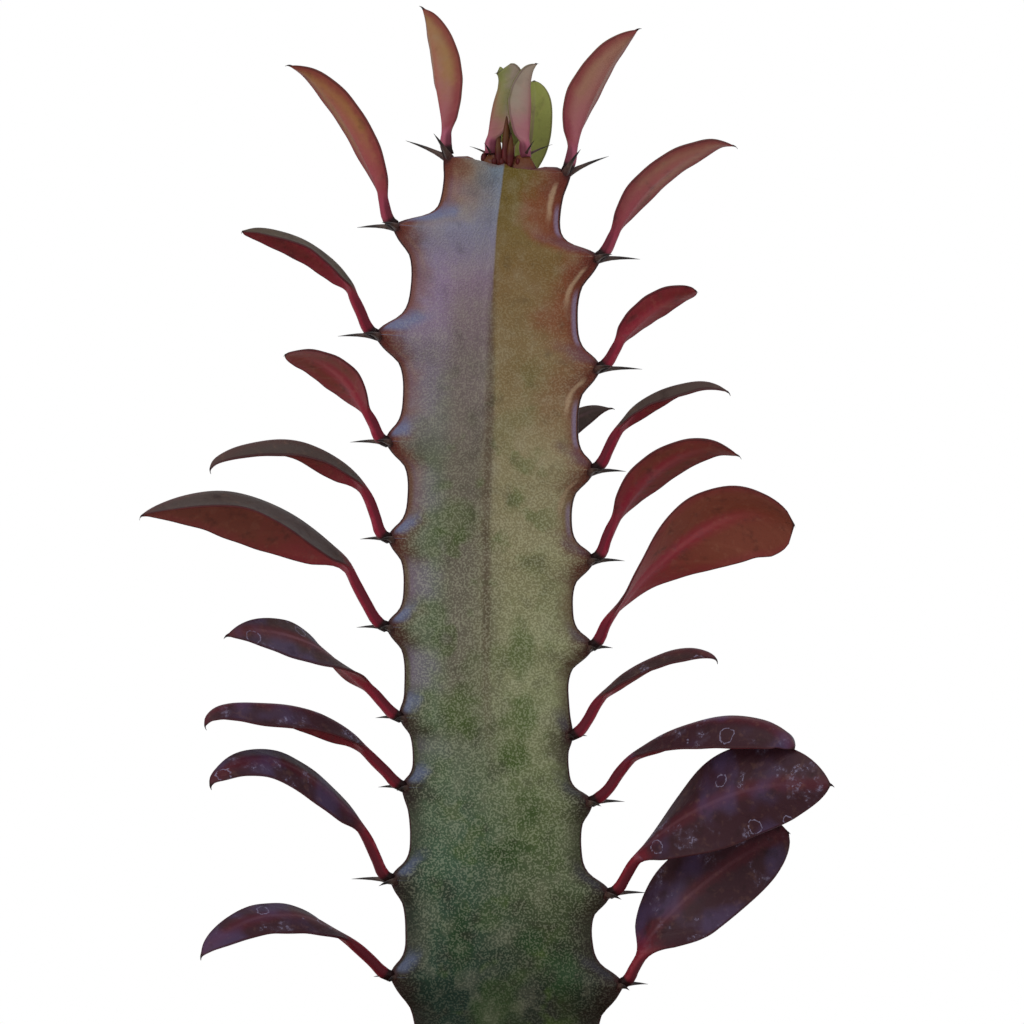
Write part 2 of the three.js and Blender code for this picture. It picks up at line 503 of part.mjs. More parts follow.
function leafMesh(leaf) {
  const { curve, side, rib } = leafCurve(leaf);
  const length = curve.getLength();
  const stations = [
    ...PETIOLE_STATIONS.map((share) => share * leaf.petiole),
    ...BLADE_STATIONS.map((share) => lerp(leaf.petiole, 1, share)),
  ];
  const rings = stations.map((at) => leafRing(leaf, curve, side, rib.front, Math.max(at, GAP / length)));
  const young = leaf.tooth === 0;
  const name = `leaf_${leaf.rib}_${String(leaf.tooth).padStart(2, '0')}`;
  return namedMesh(name, loftGeometry(rings), young ? COLOURS.youngLeaf : COLOURS.leaf, 0.45);
}

// The pot's wall at a height, inside or outside
function potRadius(height, inside) {
  const outer = lerp(POT_FOOT_RADIUS, POT_TOP_RADIUS - RIM_STEP, height / POT_HEIGHT);
  return inside ? outer - POT_WALL : outer;
}

function turned(profile) {
  const points = profile.map(([radius, height]) => new THREE.Vector2(radius, height));
  return new THREE.LatheGeometry(points, TURN_SEGMENTS).rotateX(Math.PI / 2);
}

function potMesh() {
  const rimFoot = POT_HEIGHT - RIM_HEIGHT;
  const profile = [
    [0, 0],
    [POT_FOOT_RADIUS - EDGE_BEVEL, 0],
    [POT_FOOT_RADIUS, EDGE_BEVEL],
    [potRadius(rimFoot, false), rimFoot],
    [potRadius(rimFoot, false) + RIM_STEP, rimFoot + EDGE_BEVEL],
    [POT_TOP_RADIUS, POT_HEIGHT - EDGE_BEVEL],
    [POT_TOP_RADIUS - EDGE_BEVEL, POT_HEIGHT],
    [potRadius(POT_HEIGHT, true) + EDGE_BEVEL, POT_HEIGHT],
    [potRadius(POT_HEIGHT, true), POT_HEIGHT - EDGE_BEVEL],
    [potRadius(POT_FLOOR, true), POT_FLOOR],
    [0, POT_FLOOR],
  ];
  let pot = toSolid(turned(profile));
  for (let i = 0; i < DRAIN_COUNT; i += 1) {
    const centre = direction(90 + (360 / DRAIN_COUNT) * i).multiplyScalar(DRAIN_CIRCLE);
    const hole = new THREE.CylinderGeometry(DRAIN_RADIUS, DRAIN_RADIUS, POT_FLOOR * 2, 16);
    hole.rotateX(Math.PI / 2).translate(centre.x, centre.y, POT_FLOOR / 2);
    pot = pot.subtract(toSolid(hole));
  }
  return namedMesh('pot', toGeometry(pot), COLOURS.pot, 0.8);
}

function soilMesh() {
  const low = POT_FLOOR + GAP;
  const edge = SOIL_TOP - SOIL_MOUND;
  const profile = [
    [0, low],
    [potRadius(low, true) - GAP, low],
    [potRadius(edge, true) - GAP, edge],
    [potRadius(edge, true) - SOIL_SLOPE, SOIL_TOP - SOIL_MOUND * 0.4],
    [MOUND_RADIUS, SOIL_TOP],
    [0, SOIL_TOP],
  ];
  const hole = stemRings(GAP, FOOT_RUN.length + 1);
  const lift = new THREE.Vector3(0, 0, GAP);
  hole[0] = hole[0].map((point) => point.sub(lift));
  const soil = toSolid(turned(profile)).subtract(toSolid(loftGeometry(hole)));
  return namedMesh('soil', toGeometry(soil), COLOURS.soil, 0.95);
}

const plant = new THREE.Group();
plant.add(potMesh(), soilMesh(), stemMesh());
for (const leaf of LEAVES) plant.add(leafMesh(leaf));

export default plant;
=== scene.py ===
# Looks of the potted rubra african milk tree: fine skin, spines, leaves, pot and potting mix around the
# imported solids. Sizes are in millimetres until a mesh is made. The frame is in metres, +Z up, with the flat
# face between the left and the right rib towards -Y.

import math
from math import radians

import bpy
import numpy as np
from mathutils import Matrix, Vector, noise


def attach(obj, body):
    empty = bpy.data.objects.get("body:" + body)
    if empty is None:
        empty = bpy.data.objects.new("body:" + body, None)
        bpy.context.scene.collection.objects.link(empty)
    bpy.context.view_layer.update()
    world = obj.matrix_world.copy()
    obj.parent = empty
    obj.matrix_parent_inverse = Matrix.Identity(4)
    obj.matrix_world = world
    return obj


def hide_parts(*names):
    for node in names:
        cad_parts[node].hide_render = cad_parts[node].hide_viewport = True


bl_info = {
    "name": "Potted rubra african milk tree",
    "version": (1, 0, 0),
    "blender": (4, 5, 0),
    "location": "3D Viewport > Sidebar > Milk Tree",
    "description": "Models the skin, spines, leaves, pot and potting mix of a potted milk tree",
    "category": "Object",
}

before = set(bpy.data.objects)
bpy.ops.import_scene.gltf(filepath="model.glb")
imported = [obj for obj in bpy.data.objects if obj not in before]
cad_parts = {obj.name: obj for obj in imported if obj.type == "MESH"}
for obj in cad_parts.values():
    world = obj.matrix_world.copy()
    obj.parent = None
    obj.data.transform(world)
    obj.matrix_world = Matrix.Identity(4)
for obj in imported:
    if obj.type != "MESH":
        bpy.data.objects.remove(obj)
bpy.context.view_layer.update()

MM = 0.001
BODY = "root"
SAME_PLACE = 1e-6

# The stem's bow: height and how far the axis stands to the side
AXIS_BOW = ((64, 0), (92, -0.3), (127, -1.3), (149, -2.9), (171, -3.6), (202, -5.5), (238, -5.5),
            (262, -4.8), (285, -4.4), (303, -3.3), (317, -1.5))

# Each rib's azimuth, the side of it that faces the front, its teeth from the lowest up as height, reach
# from the axis and reach in the waist above, and its crown as reach and height
RIBS = {
    "left": (210, 1,
             ((112, 25, 22.4), (140.2, 27.9, 23.1), (160.9, 26.7, 21.2), (180.7, 22.8, 19.4),
              (195.7, 22.4, 20.4), (215.3, 25.2, 20.6), (234.4, 24.8, 19.8), (255.3, 26, 21.6),
              (278.1, 29.2, 20.3), (301.7, 26.1, 14.6), (317, 15.4, 15.4)),
             ((12.2, 317.4), (6.8, 314.8), (4.2, 318.6))),
    "right": (-30, -1,
              ((110, 26, 22.8), (138.7, 30.4, 23.1), (158.1, 28.6, 21.2), (177.6, 25, 19.2),
               (191.8, 20.9, 20.3), (211, 27, 21.4), (229.7, 27.2, 21.1), (249, 26.8, 22),
               (271, 27.7, 21.4), (294.8, 26.8, 15.6), (313.5, 17.1, 17.1)),
              ((13.4, 315), (8.6, 314.6), (5.8, 318.4))),
    "back": (82, 1,
             ((104, 25, 22.6), (130.5, 28, 23), (149.5, 28, 21.6), (169.5, 26, 20),
              (186.5, 24, 20.3), (203.5, 25.5, 21), (222.5, 26, 20.6), (242, 26.5, 21.6),
              (263.5, 27.5, 21.4), (286.5, 27, 18.5), (307, 18.5, 18.5)),
             ((14, 309.6), (8.5, 312), (4.6, 317.4))),
}
TOOTH_COUNT = 11
LAST_LEAF = 10

# How a tooth falls off above its tip and how the next one rises, along the share of the way up
TOOTH_FALL = ((0, 1), (0.09, 0.72), (0.19, 0.26), (0.42, 0.02), (0.72, 0), (1, 0))
TOOTH_RISE = ((0, 0), (0.42, 0), (0.72, 0.13), (0.88, 0.68), (1, 1))

# The stem's foot, its crown, how deep the crease between two ribs is at which height, and the shoulder
# where a rib's thin edge meets its flank
STEM_FOOT = 64
FOOT_REACH = 17
FIRST_TOOTH_FROM = 0.8
FULL_REACH = 14
CROWN_TAPER = 0.94
CROWN_SAG = 1.4
CREASE_SHARES = (0.47, 0.33)
CREASE_HEIGHTS = (120, 290)
SHOULDER_DROP = 2.4
SHOULDER_HALF = 2.1

# Every leaf: rib, tooth counted from the top, half width, roll at the petiole and at the blade, fold, where
# the petiole ends, where the blade is widest, how blunt its end is, and the midrib as points out from the
# tooth, up and, where given, to the front
LEAVES = (
    ("left", 0, 5.2, (0, 0), -50, 0.02, 0.66, 7,
     ((-0.5, 2), (-1.1, 6), (-1.9, 11), (-2.8, 14.8), (-2.9, 16.4), (-2.6, 17.3), (-1.9, 18))),
    ("left", 1, 5.2, (8, 21), -39, 0.06, 0.55, 2.1,
     ((-0.6, 2.5), (-0.6, 5.3), (-0.3, 7.9), (0.5, 12.2), (1.3, 16.3), (1.9, 21), (2.8, 25.3),
      (3.9, 29.5), (5.6, 32.6))),
    ("left", 2, 4.5, (8, 14), -14, 0.07, 0.5, 2.1,
     ((0.7, 1.3), (1.8, 4.9), (2.7, 8.1), (5.4, 13.5), (9.2, 19.9), (14.2, 26.1), (19.6, 30.7),
      (25, 32.7))),
    ("left", 3, 4.4, (0, 10), 38, 0.19, 0.45, 3.2,
     ((1.1, 1.1), (3, 4.7), (4.5, 7.7), (5.4, 10.6), (7.7, 13.5), (11.7, 16.6), (16.9, 19.3),
      (22.5, 20.8), (27.8, 21.3), (31, 20.6))),
    ("left", 4, 5.4, (8, 22), 8, 0.18, 0.52, 2.8,
     ((1, 0.6), (2.6, 3.6), (4.3, 6.4), (6.3, 9.3), (8.5, 12.1), (11.1, 14.4), (14.9, 16.6),
      (19.1, 17.8), (23.8, 18))),
    ("left", 5, 4.7, (10, -2), 42, 0.17, 0.4, 2.6,
     ((1.3, 0.9), (2.8, 4.7), (4.7, 9.2), (7.9, 13.8), (13.4, 17.6), (19.3, 20), (24.6, 20.7),
      (31.1, 20), (37.3, 18.3), (40.7, 16.2), (41.7, 13.7))),
    ("left", 6, 10, (4, 24), 44, 0.17, 0.54, 2.1,
     ((1.6, 0.9), (4.6, 5.2), (7, 9.3), (9.6, 14.4), (14.2, 18.5), (22.6, 23.9), (32.3, 27.6),
      (39.6, 28.7), (47.7, 27.6), (54.3, 25.3), (57, 23.5))),
    ("left", 7, 5.3, (22, -52), 8, 0.15, 0.52, 2.1,
     ((1.3, 0.8), (4, 3.4), (6.3, 5.8), (9.3, 8.3), (13.1, 11.2), (17.1, 14), (21.6, 16.4),
      (26.1, 18), (30.5, 19), (35.5, 19.3), (41.1, 18.4))),
    ("left", 8, 6.3, (12, -6), 38, 0.17, 0.5, 2.6,
     ((1.2, 0.9), (3.7, 3.4), (6.1, 5.6), (8.7, 8.3), (11.4, 11.4), (14.7, 13.8), (19.4, 16.3),
      (26, 18.2), (32.9, 19), (39.8, 19.2), (43.6, 18.4), (45.7, 16.6), (46.1, 14.1))),
    ("left", 9, 5.1, (-45, -38), 11, 0.18, 0.48, 2.4,
     ((1.3, 1.2), (3.2, 4.9), (5.6, 9.7), (8.1, 13.3), (11.3, 16.5), (15.4, 20.1), (20.5, 23.7),
      (25.2, 26.1), (30, 27.1), (35.1, 26.7), (39, 25), (41.2, 23.5), (42, 21.6))),
    ("left", 10, 5, (-10, -34), 7, 0.2, 0.46, 2.4,
     ((1.3, 0.9), (4.3, 3.8), (7.2, 6.4), (10.3, 9), (13.6, 11.2), (17.6, 13.2), (21.8, 14.5),
      (26.3, 14.9), (29.9, 14.9), (33.8, 14), (38.1, 12.3), (41.8, 10.1), (44.2, 7.4))),
    ("right", 0, 4.3, (0, 0), -50, 0.02, 0.5, 2.1,
     ((-0.8, 1.2), (-0.4, 6), (0, 11), (0.2, 15.4), (0.9, 18), (2.3, 19.8))),
    ("right", 1, 5.4, (8, 16), -28, 0.07, 0.46, 2.1,
     ((-0.4, 2.1), (0.4, 5.4), (1.4, 8.4), (3, 12.4), (4.9, 16.2), (7.1, 19.8), (9.7, 23.5),
      (12.9, 26.9), (16.8, 30.2))),
    ("right", 2, 4.5, (10, 18), -4, 0.08, 0.46, 2.1,
     ((0.8, 1.3), (2.5, 4.2), (3.8, 6.5), (6.1, 9.6), (9.4, 13.3), (13.3, 16.5), (17.9, 19.3),
      (22.9, 21.3), (27.3, 22.5), (32.2, 21.7))),
    ("right", 3, 3.7, (20, 28), -8, 0.17, 0.5, 3.4,
     ((1.2, 1), (3.2, 3.8), (4.6, 5.9), (7, 8.3), (10.4, 10.9), (14.1, 13.1), (17.7, 14.7),
      (22.8, 15.7))),
    ("right", 4, 3.8, (8, -10), 38, 0.19, 0.46, 2.1,
     ((1.3, 1.4), (3.1, 4.5), (4.5, 7.1), (6.1, 9.6), (8.3, 12.4), (11.4, 14.7), (15.5, 16.6),
      (20.2, 17.8), (25.1, 18.3), (28.8, 17.6), (32.2, 15.8))),
    ("right", 5, 4.9, (14, 34), 0, 0.16, 0.5, 2.1,
     ((1.2, 1.4), (2.6, 4.7), (3.9, 7.3), (5.8, 10.4), (8.5, 14), (12.2, 17.5), (16.4, 20.4),
      (20.4, 22.3), (24.6, 23.5), (28.8, 23.7), (34.6, 21.8))),
    ("right", 6, 10, (-12, 50), 17, 0.05, 0.74, 4.2,
     ((0.8, 1.4), (2.6, 5), (4.6, 7.8), (7.5, 11.3), (11.2, 15.2), (15.4, 18.6), (19.9, 21.9),
      (24.8, 24.9), (30.2, 27.4), (36.1, 28.8), (41.8, 28), (47, 26.3))),
    ("right", 7, 4.6, (0, -12), 26, 0.2, 0.52, 2.4,
     ((1.3, 0.7), (3.6, 3.4), (5.8, 7), (9, 10.7), (13, 13.9), (18.4, 16.7), (24.6, 18.8),
      (29.7, 19.1), (33.2, 18.2), (34.9, 16.7))),
    ("right", 8, 7.3, (5, -20), 31, 0.18, 0.6, 3.2,
     ((1.2, 0.9), (3.7, 3.1), (6.1, 6.4), (9.8, 10.5), (15.5, 14.4), (22.8, 17.4), (30.7, 19.1),
      (37, 19), (42, 17.9), (45.6, 15.8), (47.2, 13.2))),
    ("right", 9, 9.9, (-45, -90), 20, 0.12, 0.6, 2.4,
     ((1.2, 0.9, 0), (3.4, 4, 0.2), (5.5, 7.1, 0.5), (9.1, 10.8, 1), (15.6, 15.9, 1.6),
      (23.2, 20.2, 2), (32, 23.8, 2), (41.4, 25.7, 1.6), (51.9, 26, 1))),
    ("right", 10, 9.3, (-70, -92), 4, 0.09, 0.46, 3,
     ((1, 1.3, 0), (2.1, 3.3, 0), (3.2, 5.8, -1), (5.4, 11, -3.2), (9, 15.9, -6),
      (13.8, 20.8, -8.4), (19.7, 25.7, -10.4), (26, 29.8, -12), (32.7, 33.3, -13))),
    ("back", 0, 3.6, (0, 0), -20, 0.14, 0.62, 2.1,
     ((0.8, 1.2, 0), (1.6, 5.6, -0.2), (1.8, 10, -0.4), (1.5, 13, -0.4), (1.1, 15, -0.4))),
    ("back", 1, 5, (0, 0), -24, 0.16, 0.62, 2.8,
     ((0.4, 1.6, 0), (0.8, 8, -2), (0.9, 16, -4.2), (1.2, 24, -5), (2, 31.2, -5))),
    ("back", 2, 5.2, (0, 8), -18, 0.18, 0.54, 2.1,
     ((1, 1.4), (2.8, 7), (6, 14), (10.8, 21), (16.8, 26.4), (23.4, 29.2))),
    ("back", 3, 5.2, (5, 15), 18, 0.2, 0.54, 2.1,
     ((1.3, 1.2), (3, 5.6), (6.2, 11), (11.4, 16.6), (18.2, 20.6), (25.8, 22.2), (31.8, 21))),
    ("back", 4, 3.6, (0, 0), 10, 0.2, 0.56, 2.1,
     ((1.3, 1.2, 0), (2.8, 4.8, -1.4), (5.2, 9.8, -4.4), (8.4, 14.8, -9), (11.2, 19.1, -14.4),
      (12.8, 21.7, -19.6), (13.4, 22.3, -24))),
    ("back", 5, 5.8, (8, 20), 30, 0.19, 0.52, 2.1,
     ((1.4, 1.2), (3.2, 5.6), (6.2, 11.6), (11.4, 17.2), (19.8, 21.2), (29.2, 22.2), (36.8, 19.6))),
    ("back", 6, 8.4, (0, -12), 28, 0.18, 0.54, 2.1,
     ((1.4, 1.2), (3.6, 5.6), (7, 11.4), (13.2, 18), (23, 24), (34, 27), (44, 26), (51, 21.6))),
    ("back", 7, 5.8, (-10, -20), 26, 0.19, 0.56, 2.1,
     ((1.4, 1), (3.6, 4.6), (7.2, 9), (13.4, 14), (21.4, 17.6), (31, 18.4), (39.4, 16))),
    ("back", 8, 7.4, (12, 34), 20, 0.17, 0.58, 2.1,
     ((1.4, 1), (3.6, 4.8), (7.2, 10.4), (13.2, 16.4), (22, 21.2), (32.4, 22.8), (41.8, 20))),
    ("back", 9, 7.2, (0, -16), 24, 0.18, 0.54, 2.1,
     ((1.4, 1), (3.6, 4.6), (7.4, 9.8), (14.2, 15), (23.4, 18.6), (34, 18.8), (44.2, 14.4))),
)


def smooth(value, low, high):
    """0 below low, 1 above high and an even S between them."""
    share = np.clip((value - low) / (high - low), 0, 1)
    return share * share * (3 - 2 * share)


def blend(first, second, share):
    return first + (second - first) * share


def flowing(table, at):
    """A table read at places between its rows, rounded and with no overshoot."""
    keys, values = (np.array(column, float) for column in zip(*table))
    slopes = np.diff(values) / np.diff(keys)
    tangents = np.concatenate(([slopes[0]], (slopes[1:] + slopes[:-1]) / 2, [slopes[-1]]))
    inner = tangents[1:-1]
    inner[slopes[1:] * slopes[:-1] <= 0] = 0
    limit = 3 * np.minimum(np.abs(slopes[1:]), np.abs(slopes[:-1]))
    inner[:] = np.clip(inner, -limit, limit)
    at = np.clip(at, keys[0], keys[-1])
    row = np.clip(np.searchsorted(keys, at, side="right") - 1, 0, len(keys) - 2)
    width = keys[row + 1] - keys[row]
    share = (at - keys[row]) / width
    start = values[row] * (1 + 2 * share) * (1 - share) ** 2
    end = values[row + 1] * share ** 2 * (3 - 2 * share)
    bend = width * (tangents[row] * share * (1 - share) ** 2
                    - tangents[row + 1] * share ** 2 * (1 - share))
    return start + end + bend


def through(points, at):
    """Places on a rounded line through points, counted in points, for rows of such lines at once."""
    count = points.shape[-2]
    before = 2 * points[..., :1, :] - points[..., 1:2, :]
    after = 2 * points[..., -1:, :] - points[..., -2:-1, :]
    full = np.concatenate((before, points, after), axis=-2)
    row = np.clip(np.floor(at).astype(int), 0, count - 2)
    share = (at - row)[:, None]
    p0, p1, p2, p3 = (full[..., row + k, :] for k in range(4))
    return 0.5 * (2 * p1 + (p2 - p0) * share + (2 * p0 - 5 * p1 + 4 * p2 - p3) * share ** 2
                  + (3 * p1 - p0 - 3 * p2 + p3) * share ** 3)


def direction(azimuth):
    return np.array((math.cos(radians(azimuth)), math.sin(radians(azimuth)), 0.0))


def axis_point(height):
    heights, sides = zip(*AXIS_BOW)
    height = np.asarray(height, float)
    return np.stack((np.interp(height, heights, sides), np.zeros_like(height), height), axis=-1)


def rough(points, size, seed=0.0):
    """Soft noise at points, from -1 to 1, with bumps about as wide as size."""
    return np.array([noise.noise(Vector(p) / size + Vector((seed, seed, seed))) for p in points])


def deselect():
    bpy.ops.object.select_all(action="DESELECT")


def in_edit(*steps):
    """Runs edit-mode steps on the active piece, with all of it selected."""
    bpy.ops.object.mode_set(mode="EDIT")
    bpy.ops.mesh.select_all(action="SELECT")
    for step in steps:
        step()
    bpy.ops.object.mode_set(mode="OBJECT")


def circle(count):
    """Places evenly round a circle of radius 1."""
    turn = np.linspace(0, 2 * math.pi, count, endpoint=False)
    return np.stack((np.cos(turn), np.sin(turn), 0 * turn), axis=-1)


def skin_over(name, rings, notes=None):
    """A closed skin over rings of points, from a grid whose columns meet and whose ends close in poles."""
    rings = np.asarray(rings, float)
    middle = rings[[0, -1]].mean(axis=1, keepdims=True)
    ends = np.repeat(middle, rings.shape[1], axis=1)
    rings = np.concatenate((ends[:1], rings, ends[1:]))
    rows, columns = rings.shape[:2]
    rings = np.concatenate((rings, rings[:, :1]), axis=1)
    deselect()
    bpy.ops.mesh.primitive_grid_add(x_subdivisions=columns, y_subdivisions=rows - 1, size=1)
    piece = bpy.context.object
    piece.name = piece.data.name = name
    piece.data.vertices.foreach_set("co", (rings * MM).astype(np.float32).ravel())
    for key, value in (notes or {}).items():
        value = np.concatenate((value[:1], value, value[-1:]))
        value = np.concatenate((value, value[:, :1]), axis=1)
        note = piece.data.attributes.new(key, "FLOAT", "POINT")
        note.data.foreach_set("value", value.astype(np.float32).ravel())
    piece.data.update()
    in_edit(lambda: bpy.ops.mesh.remove_doubles(threshold=SAME_PLACE),
            lambda: bpy.ops.mesh.normals_make_consistent(inside=False))
    return piece


def joined(pieces, name):
    """Several meshes as one piece."""
    deselect()
    for piece in pieces:
        piece.select_set(True)
    bpy.context.view_layer.objects.active = pieces[0]
    bpy.ops.object.join()
    piece = bpy.context.object
    piece.name = piece.data.name = name
    return piece


def pick(piece):
    """Makes a piece the active one and the only one selected."""
    deselect()
    piece.select_set(True)
    bpy.context.view_layer.objects.active = piece


def finished(piece, material, slot, *nodes):
    """Smooth faces, the piece's finish, its body and the nodes that it stands for."""
    pick(piece)
    bpy.ops.object.transform_apply(location=True, rotation=True, scale=True)
    bpy.ops.object.shade_smooth()
    piece.data.materials.clear()
    piece.data.materials.append(material)
    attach(piece, BODY)
    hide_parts(*nodes)
    return piece


class Flow:
    """A number that runs through a material. Sums on it add the nodes that work them out."""

    def __init__(self, recipe, socket):
        self.recipe = recipe
        self.socket = socket

    def sum(self, operation, *values):
        return self.recipe.node("ShaderNodeMath", {"operation": operation}, dict(enumerate(values)))

    def __add__(self, other):
        return self.sum("ADD", self, other)

    def __sub__(self, other):
        return self.sum("SUBTRACT", self, other)

    def __rsub__(self, other):
        return self.sum("SUBTRACT", other, self)

    def __mul__(self, other):
        return self.sum("MULTIPLY", self, other)

    def __truediv__(self, other):
        return self.sum("DIVIDE", self, other)

    def __pow__(self, other):
        return self.sum("POWER", self, other)

    __radd__ = __add__
    __rmul__ = __mul__

    def size(self):
        return self.sum("ABSOLUTE", self)

    def wave(self):
        return self.sum("SINE", self)

    def least(self, other):
        return self.sum("MINIMUM", self, other)

    def most(self, other):
        return self.sum("MAXIMUM", self, other)


# The colour sockets of a Mix node
MIX_SHARE, MIX_FIRST, MIX_SECOND, MIX_COLOUR = 0, 6, 7, 2


class Recipe:
    """The nodes of one material, or of the world around the object."""

    def __init__(self, owner):
        self.owner = owner
        self.owner.use_nodes = True
        self.tree = self.owner.node_tree
        self.tree.nodes.clear()

    def node(self, kind, settings=None, inputs=None, output=0):
        made = self.tree.nodes.new(kind)
        for key, value in (settings or {}).items():
            if key == "stops":
                self.set_stops(made.color_ramp, value)
            else:
                setattr(made, key, value)
        for key, value in (inputs or {}).items():
            if isinstance(value, Flow):
                self.tree.links.new(value.socket, made.inputs[key])
            else:
                made.inputs[key].default_value = value
        return Flow(self, made.outputs[output])

    @staticmethod
    def set_stops(ramp, stops):
        ramp.elements.remove(ramp.elements[1])
        first = ramp.elements[0]
        first.position, first.color = stops[0]
        for place, colour in stops[1:]:
            ramp.elements.new(place).color = colour

    def places(self):
        return self.node("ShaderNodeTexCoord", output="Object")

    def part(self, value, output, kind="XYZ"):
        """One part of a place, or of a colour."""
        return self.node(f"ShaderNodeSeparate{kind}", inputs={0: value}, output=output)

    def note(self, name):
        return self.node("ShaderNodeAttribute", {"attribute_name": name}, output="Fac")

    def place(self, axis):
        """A place's own X, Y or Z in the frame, in millimetres."""
        return self.part(self.places(), axis) / MM

    def height(self):
        """Height above the pot's underside, in millimetres."""
        return self.place("Z")

    def band(self, value, low, high):
        """0 where value is below low, 1 above high."""
        return self.node("ShaderNodeMapRange", {"interpolation_type": "SMOOTHSTEP"},
                         {"Value": value, "From Min": low, "From Max": high})

    def grain(self, size, detail=2.0, roughness=0.5, stretch=(1, 1, 1), shift=0.0):
        """Noise from 0 to 1 with grains about size millimetres wide."""
        scaled = self.node("ShaderNodeMapping", inputs={
            "Vector": self.places(), "Location": (shift, shift, shift), "Scale": stretch})
        return self.node("ShaderNodeTexNoise", inputs={
            "Vector": scaled, "Scale": 1 / (size * MM), "Detail": detail, "Roughness": roughness})

    def cells(self, size, output="Distance"):
        """Distance to points about size millimetres apart, or another value of each one's cell."""
        return self.node("ShaderNodeTexVoronoi", inputs={
            "Vector": self.places(), "Scale": 1 / (size * MM)}, output=output)

    def palette(self, value, low, high, colours):
        """Colours spread over value from low to high, each with its own place."""
        stops = [((place - low) / (high - low), colour) for place, colour in colours]
        share = self.node("ShaderNodeMapRange", inputs={"Value": value, "From Min": low, "From Max": high})
        return self.node("ShaderNodeValToRGB", {"stops": stops}, {"Fac": share})

    def mix(self, first, second, share):
        """The first colour where share is 0, the second where it is 1."""
        return self.node("ShaderNodeMix", {"data_type": "RGBA"}, {
            MIX_SHARE: share, MIX_FIRST: first, MIX_SECOND: second}, MIX_COLOUR)

    def coats(self, colour, *coats):
        """A colour with coats over it, each one a colour of its own and how much of it shows."""
        for coat, share in coats:
            colour = self.mix(colour, coat, share)
        return colour

    def bump(self, height, depth):
        """Relief of depth millimetres where height runs from 0 to 1."""
        return self.node("ShaderNodeBump", inputs={
            "Height": height, "Distance": depth * MM, "Strength": 1.0})

    def done(self, colour, roughness, relief, specular):
        """The material, with a shader that takes these."""
        return self.ended(self.node("ShaderNodeBsdfPrincipled", inputs={
            "Base Color": colour, "Roughness": roughness, "Normal": relief,
            "Specular IOR Level": specular}))

    def ended(self, shader, kind="ShaderNodeOutputMaterial"):
        end = self.tree.nodes.new(kind)
        self.tree.links.new(shader.socket, end.inputs["Surface"])
        return self.owner


def material(name):
    return Recipe(bpy.data.materials.new(name))


def paint(red, green, blue):
    """A screen colour as the linear one that a shader takes."""
    linear = (((c / 255 + 0.055) / 1.055) ** 2.4 if c > 10 else c / 3294 for c in (red, green, blue))
    return (*linear, 1.0)


# Tints that no setting changes: on the stem
DARK_CLOUD = paint(38, 34, 24)
PALE_CLOUD = paint(176, 170, 146)
DARK_SPECKLE = paint(40, 34, 24)
BLACK_DOT = paint(14, 10, 8)
CORK = paint(104, 84, 62)
# On the leaves
PINK_UNDERSIDE = paint(158, 106, 100)
# Painted shade along a petiole's sides
PETIOLE_SHADE = paint(70, 16, 28)
# Pale flecks along a petiole's middle, partly a painted highlight
PETIOLE_FLECK_AND_HIGHLIGHT = paint(186, 96, 110)
KEEL_LINE = paint(176, 92, 92)
VEIN = paint(170, 110, 84)
# Pale line along the upper midrib: partly its own tint, partly a painted highlight
GROOVE_LINE_AND_HIGHLIGHT = paint(132, 96, 104)
LEAF_SHADE = paint(34, 14, 14)
PALE_FLECK = paint(200, 150, 120)
HOOK_TINT = paint(40, 16, 16)
# On the spines
WORN_HORN = paint(132, 112, 98)
DARK_HORN = paint(22, 12, 12)
# On the buds
BUD_FOOT_TINT = paint(104, 40, 32)
BUD_LOW = paint(78, 20, 24)
BUD_MIDDLE = paint(92, 56, 26)
BUD_HIGH = paint(84, 44, 22)
BUD_TIP = paint(44, 18, 18)
BUD_STREAK = paint(126, 52, 56)
BUD_SHADE = paint(40, 16, 20)
# On the pot
TURNING_MARK = paint(196, 120, 82)
DAMP_FOOT = paint(112, 66, 46)
RUBBED_RIM = paint(206, 144, 106)
IRON_SPECK = paint(92, 48, 34)
# In the potting mix
PALE_FIBRE = paint(132, 104, 76)
GRIT = paint(168, 156, 138)
BARK_PORES = paint(48, 30, 22)
PUMICE_PORES = paint(138, 128, 114)


def shade(red, green, blue, title, note):
    """A colour that a user may change."""
    return bpy.props.FloatVectorProperty(
        name=title, description=note, subtype="COLOR", size=4, min=0, max=1,
        default=paint(red, green, blue))


def measure(value, title, note):
    """A length in metres that a user may change, given here in millimetres."""
    return bpy.props.FloatProperty(
        name=title, description=note, unit="LENGTH", min=0, default=value * MM, precision=4)


def amount(value, title, note, high):
    return bpy.props.FloatProperty(name=title, description=note, min=0, max=high, default=value)


